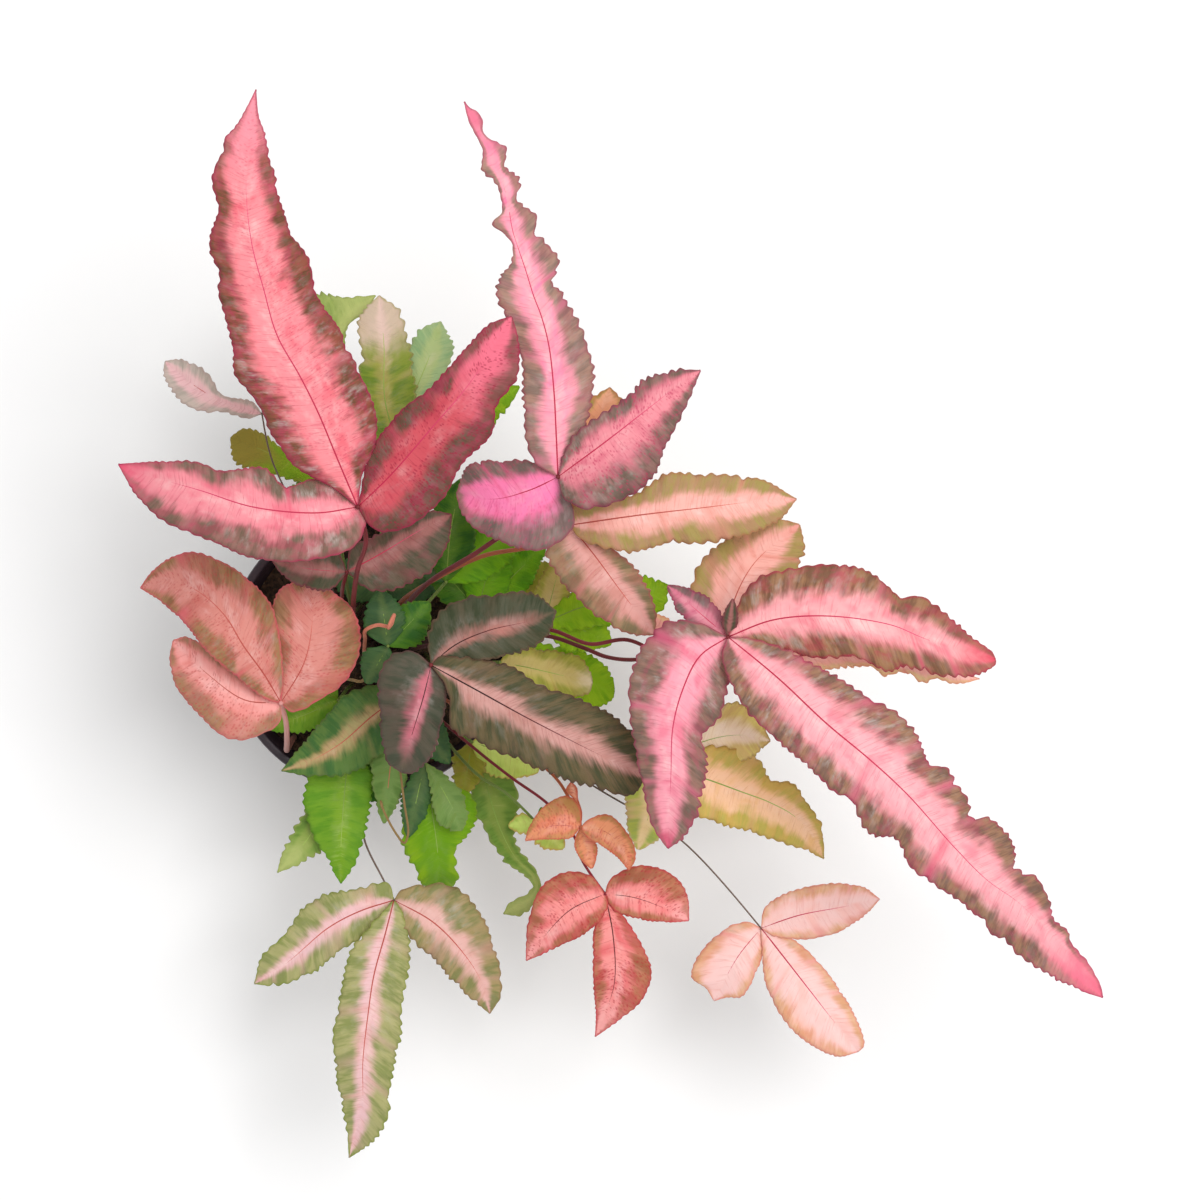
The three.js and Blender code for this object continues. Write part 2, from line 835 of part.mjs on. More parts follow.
/** A closed triangle mesh as a solid; its shared corners are merged first. */
function solid(geometry) {
  const bare = geometry.clone();
  bare.deleteAttribute('normal');
  bare.deleteAttribute('uv');
  const merged = mergeVertices(bare, 1e-4);
  return new wasm.Manifold(new wasm.Mesh({
    numProp: 3,
    vertProperties: new Float32Array(merged.attributes.position.array),
    triVerts: new Uint32Array(merged.index.array),
  }));
}

/** A solid back as a three.js geometry. */
function geometryOf(body) {
  const mesh = body.getMesh();
  const geometry = new THREE.BufferGeometry();
  geometry.setAttribute('position', new THREE.BufferAttribute(new Float32Array(mesh.vertProperties), 3));
  geometry.setIndex(new THREE.BufferAttribute(new Uint32Array(mesh.triVerts), 1));
  geometry.computeVertexNormals();
  return geometry;
}

/** A smooth curve through points. */
const through = (points) => new THREE.CatmullRomCurve3(points, false, 'centripetal');

/** A smooth curve on the plan through [px, py] pairs. */
const planCurve = (pairs) => through(pairs.map(([x, y]) => new THREE.Vector3(x, y, 0)));

/** The left-hand normal of a walking direction on the plan, where y runs downwards. */
const leftOf = (direction) => new THREE.Vector3(direction.y, -direction.x, 0).normalize();

/** The rib and the two edges of a leaflet as functions of u, from 0 at the hub to 1 at the tip. */
function outlineOf(hub, leaf) {
  if (leaf.rib) {
    const rib = planCurve([hub, ...leaf.rib, leaf.tip]);
    const left = planCurve([hub, ...leaf.left, leaf.tip]);
    const right = planCurve([hub, ...leaf.right, leaf.tip]);
    return {
      length: rib.getLength(),
      rib: (u) => rib.getPointAt(u),
      left: (u) => left.getPointAt(u),
      right: (u) => right.getPointAt(u),
    };
  }
  const start = new THREE.Vector3(hub[0], hub[1], 0);
  const end = new THREE.Vector3(leaf.tip[0], leaf.tip[1], 0);
  const middle = start.clone().lerp(end, 0.5).addScaledVector(leftOf(end.clone().sub(start)), leaf.bend ?? 0);
  const rib = through([start, middle, end]);
  const power = Math.log(0.5) / Math.log(PLAIN.fullest);
  const fullness = (u) => Math.sin(Math.PI * u ** power) ** (u < PLAIN.fullest ? PLAIN.base : PLAIN.end);
  const edge = (u, side) => {
    const out = leftOf(rib.getTangentAt(u)).multiplyScalar(side);
    return rib.getPointAt(u).addScaledVector(out, (leaf.width / 2) * fullness(u));
  };
  return {
    length: rib.getLength(),
    rib: (u) => rib.getPointAt(u),
    left: (u) => edge(u, 1),
    right: (u) => edge(u, -1),
  };
}

/** The height of a leaflet's rib over its hub: a parabola through 0, the middle's rise and the tip's. */
function ribHeight(leaf, u) {
  const [middle, tip] = leaf.rise;
  return u * (4 * middle * (1 - u) + tip * (2 * u - 1));
}

/** One leaflet as a closed, arched and waved blade with toothed edges. */
function blade(hub, leaf) {
  const { length, rib, left, right } = outlineOf(hub, leaf);
  const stations = 2 * leaf.teeth;
  const unit = unitAt(hub[2]);
  const first = BLADE.first / unit / length;
  const last = 1 - BLADE.last / unit / length;
  const grid = [];
  for (let i = 0; i <= stations; i += 1) {
    const u = THREE.MathUtils.lerp(first, last, i / stations);
    const middle = rib(u);
    const height = hub[2] + ribHeight(leaf, u);
    const swell = Math.sin(Math.PI * u) ** BLADE.swell;
    const tooth = (i % 2 ? 1 : -TOOTH.notch) * TOOTH.depth * swell / unit;
    const edge = (side) => {
      const across = (side < 0 ? left(u) : right(u)).sub(middle);
      const reach = across.length();
      const half = Math.max(reach + tooth, BLADE.leastHalfWidth / unit);
      const point = middle.clone().addScaledVector(across.normalize(), half);
      const phase = 2 * Math.PI * (leaf.teeth / WAVE.teeth) * u + side * WAVE.slant + hub[0];
      const wave = Math.min(WAVE.most, reach * unit * WAVE.share) * swell * Math.sin(phase);
      return place(point.x, point.y, height - reach * unit * BLADE.sag + wave);
    };
    grid.push([edge(-1), place(middle.x, middle.y, height), edge(1)]);
  }
  return loftedSheet(grid, BLADE.thickness);
}

/** A closed solid of even thickness round a grid of points, split alike on both of its faces. */
function loftedSheet(grid, thickness) {
  const rows = grid.length;
  const across = grid[0].length;
  const positions = [];
  const offset = rows * across;
  for (const face of [1, -1]) {
    for (let i = 0; i < rows; i += 1) {
      for (let j = 0; j < across; j += 1) {
        const sideways = grid[i][Math.min(j + 1, across - 1)].clone().sub(grid[i][Math.max(j - 1, 0)]);
        const forwards = grid[Math.min(i + 1, rows - 1)][j].clone().sub(grid[Math.max(i - 1, 0)][j]);
        const normal = sideways.cross(forwards).normalize();
        const point = grid[i][j].clone().addScaledVector(normal, face * thickness / 2);
        positions.push(point.x, point.y, point.z);
      }
    }
  }
  const at = (i, j) => i * across + j;
  const index = [];
  const quad = (a, b, c, d) => index.push(a, b, c, a, c, d);
  for (let i = 0; i < rows - 1; i += 1) {
    for (let j = 0; j < across - 1; j += 1) {
      const [a, b, c, d] = [at(i, j), at(i, j + 1), at(i + 1, j + 1), at(i + 1, j)];
      quad(a, b, c, d);
      index.push(offset + a, offset + c, offset + b, offset + a, offset + d, offset + c);
    }
    quad(at(i, 0), at(i + 1, 0), offset + at(i + 1, 0), offset + at(i, 0));
    const last = across - 1;
    quad(at(i, last), offset + at(i, last), offset + at(i + 1, last), at(i + 1, last));
  }
  for (let j = 0; j < across - 1; j += 1) {
    quad(at(0, j), offset + at(0, j), offset + at(0, j + 1), at(0, j + 1));
    const end = rows - 1;
    quad(at(end, j), at(end, j + 1), offset + at(end, j + 1), offset + at(end, j));
  }
  const geometry = new THREE.BufferGeometry();
  geometry.setAttribute('position', new THREE.Float32BufferAttribute(positions, 3));
  geometry.setIndex(index);
  return solid(geometry);
}

/** A round stem along a curve, with its sections on the curve's own points, or `finer` times as many. */
function tube(curve, radius, finer = 1) {
  const section = new THREE.Shape();
  for (let i = 0; i < STEM.sides; i += 1) {
    const turn = (2 * Math.PI * i) / STEM.sides;
    const corner = [radius * Math.cos(turn), radius * Math.sin(turn)];
    if (i) section.lineTo(...corner);
    else section.moveTo(...corner);
  }
  section.closePath();
  curve.getPointAt = curve.getPoint;
  curve.getTangentAt = curve.getTangent;
  const steps = finer * (curve.points.length - 1);
  return solid(new THREE.ExtrudeGeometry(section, { steps, bevelEnabled: false, extrudePath: curve }));
}

/** Where a stem enters the soil: a given plan point, or so far from the pot's axis towards its hub. */
function rootOf(root, hub) {
  if (Array.isArray(root)) return place(root[0], root[1], SOIL.top);
  const towards = place(...hub);
  return new THREE.Vector3(towards.x, towards.y, 0).setLength(root).setZ(SOIL.top);
}

/** A stem's route: straight up out of its hole in the soil, then through its plan points to its end. */
function routeOf(root, stops) {
  const below = root.clone().setZ(SOIL.top - STEM.rootDepth);
  const above = root.clone().setZ(SOIL.top + STEM.straight);
  return through([below, above, ...stops.map((stop) => place(...stop))]);
}

/** The largest piece of a joined body, without the scraps and sealed hollows that joining can leave. */
function wholeOf(body) {
  return body.decompose().reduce((largest, piece) => (piece.volume() > largest.volume() ? piece : largest));
}

/** A frond: its stem, its hub and its leaflets in one body. */
function frond(spec) {
  const root = rootOf(spec.root, spec.hub);
  const [x, y, z] = spec.hub;
  const halfStack = ((spec.leaves.length - 1) / 2) * BLADE.step + STEM.hubReach;
  const finer = spec.via.length < 3 ? 2 : 1;
  const route = routeOf(root, [...spec.via, [x, y, z - halfStack], [x, y, z + halfStack]]);
  let body = tube(route, spec.stem, finer);
  const fromTheTop = [...spec.leaves].sort((a, b) => b.rise[0] - a.rise[0]);
  fromTheTop.forEach((leaf, order) => {
    const level = z + halfStack - STEM.hubReach - order * BLADE.step;
    body = body.add(blade([x, y, level], leaf));
  });
  return { name: spec.name, colour: spec.colour, body: wholeOf(body), root, radius: spec.stem };
}

/** A young rolled frond: its stem and a small flat spiral at the end. */
function crozier(spec) {
  const root = rootOf(spec.root);
  const end = place(...spec.route.at(-1));
  const along = place(spec.head.towards[0], spec.head.towards[1], end.z).sub(end).normalize();
  const up = new THREE.Vector3(0, 0, 1);
  const centre = end.clone().addScaledVector(along, COIL.set).addScaledVector(up, spec.head.radius);
  const coil = [];
  for (let i = 1; i <= COIL.steps; i += 1) {
    const part = i / COIL.steps;
    const radius = spec.head.radius * (1 - COIL.closing * part);
    const turn = 2 * Math.PI * spec.head.turns * part - Math.PI / 2;
    const point = centre.clone().addScaledVector(along, radius * Math.cos(turn));
    coil.push(point.addScaledVector(up, radius * Math.sin(turn)));
  }
  const start = routeOf(root, spec.route);
  const curve = through([...start.points, ...coil]);
  return { name: spec.name, colour: spec.colour, body: tube(curve, spec.stem), root, radius: spec.stem };
}

/** A solid of revolution about Z from [radius, z] pairs that start and end on the axis. */
function turned(profile, sides) {
  const lathe = new THREE.LatheGeometry(profile.map(([r, z]) => new THREE.Vector2(r, z)), sides);
  return lathe.rotateX(Math.PI / 2);
}

/** The pot's outer radius at the height z, under its rim band. */
function outerRadius(z) {
  return THREE.MathUtils.lerp(POT.baseRadius, POT.rimRadius - POT.bandDepth, z / POT.height);
}

/** The pot's inner radius at the height z. */
const innerRadius = (z) => outerRadius(z) - POT.wall;

/** The pot: a tapered wall, a rim band with a rolled lip, a floor and drain holes round its middle. */
function pot() {
  const bandFoot = POT.height - POT.bandHeight;
  const lipFoot = POT.height - POT.lip;
  const profile = [
    [0, 0],
    [POT.baseRadius - POT.footEdge[0], 0],
    [POT.baseRadius, POT.footEdge[1]],
    [outerRadius(bandFoot), bandFoot],
    [POT.rimRadius - POT.lipEdge, bandFoot + POT.lipEdge],
    [POT.rimRadius, lipFoot],
    [POT.rimRadius - POT.lipEdge, POT.height],
    [innerRadius(POT.height) + POT.lipEdge, POT.height],
    [innerRadius(lipFoot), lipFoot],
    [innerRadius(POT.floor), POT.floor],
    [0, POT.floor],
  ];
  let body = solid(turned(profile, POT.sides));
  for (let i = 0; i < DRAIN.count; i += 1) {
    const turn = (2 * Math.PI * i) / DRAIN.count;
    const drill = new THREE.CylinderGeometry(DRAIN.radius, DRAIN.radius, 3 * POT.floor, DRAIN.sides);
    drill.rotateX(Math.PI / 2);
    drill.translate(DRAIN.ring * Math.cos(turn), DRAIN.ring * Math.sin(turn), POT.floor / 2);
    body = body.subtract(solid(drill));
  }
  return { name: 'pot', colour: 0x2a2026, body };
}

/** The soil's uneven surface: broad and narrow mounds that fade at the pot's wall. */
function moundAt(x, y) {
  const fade = 1 - (Math.hypot(x, y) / innerRadius(SOIL.top)) ** 4;
  const broad = Math.sin(0.21 * x + 1) * Math.cos(0.17 * y);
  const narrow = 0.5 * Math.sin(0.11 * y - 0.29 * x);
  return SOIL.lump * fade * (broad + narrow);
}

/** The soil, with a plain hole for each stem. */
function soil(stems) {
  const foot = POT.floor + GAP;
  const profile = [[0, foot], [innerRadius(foot) - GAP, foot], [innerRadius(SOIL.top) - GAP, SOIL.top]];
  for (let ring = SOIL.rings - 1; ring >= 0; ring -= 1) {
    profile.push([(ring / SOIL.rings) * innerRadius(SOIL.top), SOIL.top]);
  }
  const lathe = turned(profile, POT.sides);
  const points = lathe.attributes.position;
  for (let i = 0; i < points.count; i += 1) {
    if (points.getZ(i) > SOIL.top - 1) points.setZ(i, SOIL.top + moundAt(points.getX(i), points.getY(i)));
  }
  let body = solid(lathe);
  for (const stem of stems) {
    const holeRadius = (stem.radius + STEM.holeGap) / Math.cos(Math.PI / STEM.holeSides);
    const depth = STEM.rootDepth + GAP;
    const tall = depth + 2 * SOIL.lump + STEM.straight;
    const hole = new THREE.CylinderGeometry(holeRadius, holeRadius, tall, STEM.holeSides);
    hole.rotateX(Math.PI / 2);
    hole.translate(stem.root.x, stem.root.y, SOIL.top - depth + tall / 2);
    body = body.subtract(solid(hole));
  }
  return { name: 'soil', colour: 0x2b211b, body };
}

const stems = [...FRONDS.map(frond), ...CROZIERS.map(crozier)];
const plant = new THREE.Group();
for (const piece of [pot(), soil(stems), ...stems]) {
  const plastic = piece.name === 'pot';
  const material = new THREE.MeshStandardMaterial({
    color: piece.colour,
    roughness: plastic ? 0.45 : 0.7,
    metalness: 0,
    flatShading: true,
  });
  const mesh = new THREE.Mesh(geometryOf(piece.body), material);
  mesh.name = piece.name;
  plant.add(mesh);
}

export default plant;
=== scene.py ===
"""A potted brake fern: pink, coral and green fronds on wiry stipes over a small plum nursery pot.

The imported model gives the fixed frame. Every frond is rebuilt here with a fine margin, veins and a ribbed
underside on the lines that its solid has, and the pot and the soil get their finished surfaces.
"""
from __future__ import annotations

import logging
import math
import random
from bisect import bisect_left
from dataclasses import dataclass, field
from enum import Enum
from typing import Callable, Sequence, Union

import bmesh
import bpy
from mathutils import Matrix, Vector, noise


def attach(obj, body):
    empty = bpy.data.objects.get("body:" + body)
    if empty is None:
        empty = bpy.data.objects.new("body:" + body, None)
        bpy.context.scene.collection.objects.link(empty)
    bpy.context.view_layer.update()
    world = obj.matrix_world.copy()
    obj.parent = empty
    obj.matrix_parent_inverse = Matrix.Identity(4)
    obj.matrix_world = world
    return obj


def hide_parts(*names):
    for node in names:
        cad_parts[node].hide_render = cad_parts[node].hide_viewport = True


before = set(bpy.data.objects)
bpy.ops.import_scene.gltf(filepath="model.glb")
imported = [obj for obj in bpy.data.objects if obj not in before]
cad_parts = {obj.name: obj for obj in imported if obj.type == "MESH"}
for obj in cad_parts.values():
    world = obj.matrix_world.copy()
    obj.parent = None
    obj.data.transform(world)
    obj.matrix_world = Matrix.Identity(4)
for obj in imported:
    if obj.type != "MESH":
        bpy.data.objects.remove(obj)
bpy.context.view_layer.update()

LOG = logging.getLogger("fern")
MM = 0.001

PlanPoint = tuple[float, float]
Stop = tuple[float, float, float]
Colour = tuple[int, int, int]
Socket = Union[bpy.types.NodeSocket, float]


def linear(colour: Colour) -> tuple[float, float, float, float]:
    """Turn a display colour into the linear light that a shader takes.

    Args:
        colour: Red, green and blue from 0 to 255, as a screen shows them.

    Returns:
        Red, green, blue and an alpha of one.
    """
    light = []
    for part in colour:
        share = part / 255
        light.append(share / 12.92 if share <= 0.04045 else ((share + 0.055) / 1.055) ** 2.4)
    return light[0], light[1], light[2], 1.0


@dataclass(frozen=True)
class Plan:
    """The square that the leaflets are set out on, drawn from a viewpoint straight above the floor.

    A plan point is in units from the square's upper left corner, with y downwards. Heights are in mm.
    """

    height: float = 1500
    reach: float = 3324
    size: float = 1200
    x: float = 96.5
    y: float = 21

    def unit(self, z: float) -> float:
        """Return the length in millimetres of one plan unit at the height z."""
        return (self.height - z) / self.reach

    def place(self, px: float, py: float, z: float) -> Vector:
        """Carry a plan point to the height z along its line of sight."""
        unit = self.unit(z)
        return Vector((self.x + (px - self.size / 2) * unit, self.y - (py - self.size / 2) * unit, z))


PLAN = Plan()


def swell(share: float) -> float:
    """Return a quick rise from nothing at a leaflet's base and back to nothing at its tip."""
    return math.sin(math.pi * share) ** 0.6


class Curve:
    """A smooth centripetal curve through points, read by its parameter or by its length."""

    DIVISIONS = 200
    LEAST = 1e-4

    def __init__(self, points: Sequence[Sequence[float]]) -> None:
        """Keep the points and measure the curve.

        Args:
            points: The points that it passes through, in order.
        """
        self.points = [Vector(point).to_3d() for point in points]
        self.reached = [0.0]
        last = self.at(0.0)
        for step in range(1, self.DIVISIONS + 1):
            point = self.at(step / self.DIVISIONS)
            self.reached.append(self.reached[-1] + (point - last).length)
            last = point

    @property
    def length(self) -> float:
        """The curve's whole length."""
        return self.reached[-1]

    def at(self, share: float) -> Vector:
        """Return the point at a share of the curve's parameter.

        Args:
            share: From 0 to 1, even from point to point.

        Returns:
            The point.
        """
        spans = len(self.points) - 1
        index = min(int(share * spans), spans - 1)
        weight = share * spans - index
        one, two = self.points[index], self.points[index + 1]
        before = self.points[index - 1] if index > 0 else 2 * one - two
        after = self.points[index + 2] if index + 2 <= spans else 2 * two - one
        span = math.sqrt((two - one).length)
        span = span if span > self.LEAST else 1.0
        span_before = math.sqrt((one - before).length)
        span_before = span_before if span_before > self.LEAST else span
        span_after = math.sqrt((after - two).length)
        span_after = span_after if span_after > self.LEAST else span
        leave = (one - before) / span_before - (two - before) / (span_before + span) + (two - one) / span
        arrive = (two - one) / span - (after - one) / (span + span_after) + (after - two) / span_after
        leave, arrive = leave * span, arrive * span
        square = 3 * (two - one) - 2 * leave - arrive
        cube = 2 * (one - two) + leave + arrive
        return one + weight * (leave + weight * (square + weight * cube))

    def along(self, share: float) -> Vector:
        """Return the point at a share of the curve's length.

        Args:
            share: From 0 to 1.

        Returns:
            The point.
        """
        target = min(max(share, 0.0), 1.0) * self.length
        index = max(1, bisect_left(self.reached, target))
        low, high = self.reached[index - 1], self.reached[index]
        part = (target - low) / (high - low) if high > low else 0.0
        return self.at((index - 1 + part) / self.DIVISIONS)

    def heading(self, share: float) -> Vector:
        """Return the walking direction at a share of the curve's length.

        Args:
            share: From 0 to 1.

        Returns:
            The direction.
        """
        step = 1 / self.DIVISIONS
        low, high = max(0.0, share - step), min(1.0, share + step)
        return (self.along(high) - self.along(low)).normalized()


class Graph:
    """A material's nodes, added by short calls. A value is a number or another node's socket."""

    def __init__(self, name: str) -> None:
        """Start a material with its shader.

        Args:
            name: The material's name.
        """
        self.material = bpy.data.materials.new(name)
        self.material.use_nodes = True
        self.tree = self.material.node_tree
        self.shader = next(node for node in self.tree.nodes if node.type == "BSDF_PRINCIPLED")

    def plug(self, socket: bpy.types.NodeSocket, value: Socket) -> None:
        """Link a socket to another, or set it to a number or a colour.

        Args:
            socket: The socket that takes it.
            value: What it takes.
        """
        if isinstance(value, bpy.types.NodeSocket):
            self.tree.links.new(value, socket)
        else:
            socket.default_value = value

    def math(self, operation: str, first: Socket, second: Socket = 0.0, third: Socket = 0.0) -> Socket:
        """Add one Math node.

        Args:
            operation: Blender's name for it.
            first: The first value.
            second: The second value.
            third: The third value.

        Returns:
            The result.
        """
        node = self.tree.nodes.new("ShaderNodeMath")
        node.operation = operation
        for socket, value in zip(node.inputs, (first, second, third)):
            self.plug(socket, value)
        return node.outputs[0]

    def add(self, first: Socket, second: Socket) -> Socket:
        """Return a sum."""
        return self.math("ADD", first, second)

    def times(self, first: Socket, second: Socket) -> Socket:
        """Return a product."""
        return self.math("MULTIPLY", first, second)

    def off(self, value: Socket) -> Socket:
        """Return one less the value."""
        return self.math("SUBTRACT", 1.0, value)

    def swing(self, value: Socket, width: float) -> Socket:
        """Carry a value from 0 to 1 to one round zero, of a given width."""
        return self.math("MULTIPLY_ADD", value, width, -width / 2)

    def ramp(self, value: Socket, low: Socket, high: Socket) -> Socket:
        """Add a smooth rise from 0 to 1.

        Args:
            value: The value that rises.
            low: Where it is 0.
            high: Where it is 1.

        Returns:
            The rise.
        """
        node = self.tree.nodes.new("ShaderNodeMapRange")
        node.interpolation_type = "SMOOTHSTEP"
        self.plug(node.inputs["Value"], value)
        self.plug(node.inputs["From Min"], low)
        self.plug(node.inputs["From Max"], high)
        return node.outputs["Result"]

    def blend(self, share: Socket, first: Socket, second: Socket) -> Socket:
        """Blend two colours.

        Args:
            share: How much of the second shows.
            first: The first colour.
            second: The second colour.

        Returns:
            The colour.
        """
        node = self.tree.nodes.new("ShaderNodeMix")
        node.data_type = "RGBA"
        self.plug(node.inputs["Factor"], share)
        colours = [socket for socket in node.inputs if socket.type == "RGBA"]
        self.plug(colours[0], first)
        self.plug(colours[1], second)
        return next(socket for socket in node.outputs if socket.type == "RGBA")

    def point(self, x: Socket, y: Socket, z: Socket) -> Socket:
        """Join three values.

        Args:
            x: The first.
            y: The second.
            z: The third.

        Returns:
            The vector.
        """
        node = self.tree.nodes.new("ShaderNodeCombineXYZ")
        for socket, value in zip(node.inputs, (x, y, z)):
            self.plug(socket, value)
        return node.outputs[0]

    def parts(self, vector: Socket) -> list[Socket]:
        """Split a vector.

        Args:
            vector: The vector.

        Returns:
            Its three values.
        """
        node = self.tree.nodes.new("ShaderNodeSeparateXYZ")
        self.plug(node.inputs[0], vector)
        return list(node.outputs)

    def carried(self, name: str) -> list[Socket]:
        """Read one of the mesh's own attributes.

        Args:
            name: The attribute's name.

        Returns:
            Its three values.
        """
        node = self.tree.nodes.new("ShaderNodeAttribute")
        node.attribute_name = name
        return self.parts(node.outputs["Vector"])

    def place(self) -> Socket:
        """Return the place on the piece, in metres."""
        return self.tree.nodes.new("ShaderNodeTexCoord").outputs["Object"]

    def cloud(self, vector: Socket, scale: float = 1.0, detail: float = 2.0, rough: float = 0.5) -> Socket:
        """Return a soft noise from 0 to 1.

        Args:
            vector: Where it is read.
            scale: Features for each unit of the vector.
            detail: How many finer layers it has.
            rough: How strong the finer layers are.

        Returns:
            The noise.
        """
        node = self.tree.nodes.new("ShaderNodeTexNoise")
        self.plug(node.inputs["Vector"], vector)
        node.inputs["Scale"].default_value = scale
        node.inputs["Detail"].default_value = detail
        node.inputs["Roughness"].default_value = rough
        return node.outputs[0]

    def cells(self, vector: Socket, scale: float) -> Socket:
        """Add scattered points.

        Args:
            vector: The place.
            scale: How many points stand in a unit.

        Returns:
            The distance to the nearest point.
        """
        node = self.tree.nodes.new("ShaderNodeTexVoronoi")
        self.plug(node.inputs["Vector"], vector)
        node.inputs["Scale"].default_value = scale
        return node.outputs["Distance"]

    def relief(self, height: Socket, depth: float, strength: float) -> None:
        """Give the shader a fine relief.

        Args:
            height: The relief from 0 to 1.
            depth: What a height of one stands for, in metres.
            strength: How much of it shows.
        """
        node = self.tree.nodes.new("ShaderNodeBump")
        node.inputs["Strength"].default_value = strength
        node.inputs["Distance"].default_value = depth
        self.plug(node.inputs["Height"], height)
        self.plug(self.shader.inputs["Normal"], node.outputs[0])

    def finish(self, colour: Socket, roughness: Socket, specular: float = 0.5) -> bpy.types.Material:
        """Set the shader's colour and gloss.

        Args:
            colour: The base colour.
            roughness: The roughness, one number or a pattern.
            specular: How strongly it mirrors, where 0.5 is usual.

        Returns:
            The finished material.
        """
        self.plug(self.shader.inputs["Base Color"], colour)
        self.plug(self.shader.inputs["Roughness"], roughness)
        self.shader.inputs["Specular IOR Level"].default_value = specular
        return self.material


class Veined:
    """A leaflet's surface in a finish: what its mesh carries, and patterns drawn out along its veins."""

    def __init__(self, graph: Graph, slant: float) -> None:
        """Read the mesh and lay the patterns.

        Args:
            graph: The finish's nodes.
            slant: How far the veins lean towards the tip.
        """
        self.graph = graph
        along, self.across, self.own = graph.carried("grain")
        self.share, self.reach, self.inset = graph.carried("spot")
        self.under, self.notch, _ = graph.carried("trait")
        out = graph.math("ABSOLUTE", self.across)
        self.course = graph.math("SUBTRACT", along, graph.times(out, slant))
        self.fibres = self.pattern(1.3, 0.16, 0.0, 3.0)
        self.folds = self.pattern(0.22, 0.08, 7.0)
        self.sheen = self.pattern(0.3, 0.14, 41.0, 3.0)
        self.drift = self.pattern(0.06, 0.08, 13.0)
        self.bloom = self.pattern(0.13, 0.16, 53.0, 3.0)
        hairs = graph.swing(self.pattern(0.55, 0.04, 31.0, 1.0), 1.0)
        line = graph.off(graph.ramp(graph.math("ABSOLUTE", hairs), 0.0, 0.04))
        self.line = graph.times(line, graph.ramp(self.fibres, 0.4, 0.6))

    def pattern(self, lengthwise: float, crosswise: float, seed: float, detail: float = 2.0) -> Socket:
        """Add a noise that is drawn out along the veins.

        Args:
            lengthwise: Features for each millimetre along.
            crosswise: Features for each millimetre across.
            seed: What sets it apart from the other patterns.
            detail: How many finer layers it has.

        Returns:
            The noise.
        """
        along, across = self.graph.times(self.course, lengthwise), self.graph.times(self.across, crosswise)
        place = self.graph.point(along, across, self.graph.add(self.own, seed))
        return self.graph.cloud(place, 1.0, detail, 0.6)

    def dots(self) -> Socket:
        """Add small dots in patches.

        Returns:
            The dots, from 0 to 1.
        """
        along, across = self.graph.times(self.course, 1.1), self.graph.times(self.across, 0.6)
        cells = self.graph.cells(self.graph.point(along, across, self.own), 1.0)
        dots = self.graph.off(self.graph.ramp(cells, 0.16, 0.45))
        return self.graph.times(dots, self.graph.ramp(self.drift, 0.38, 0.52))


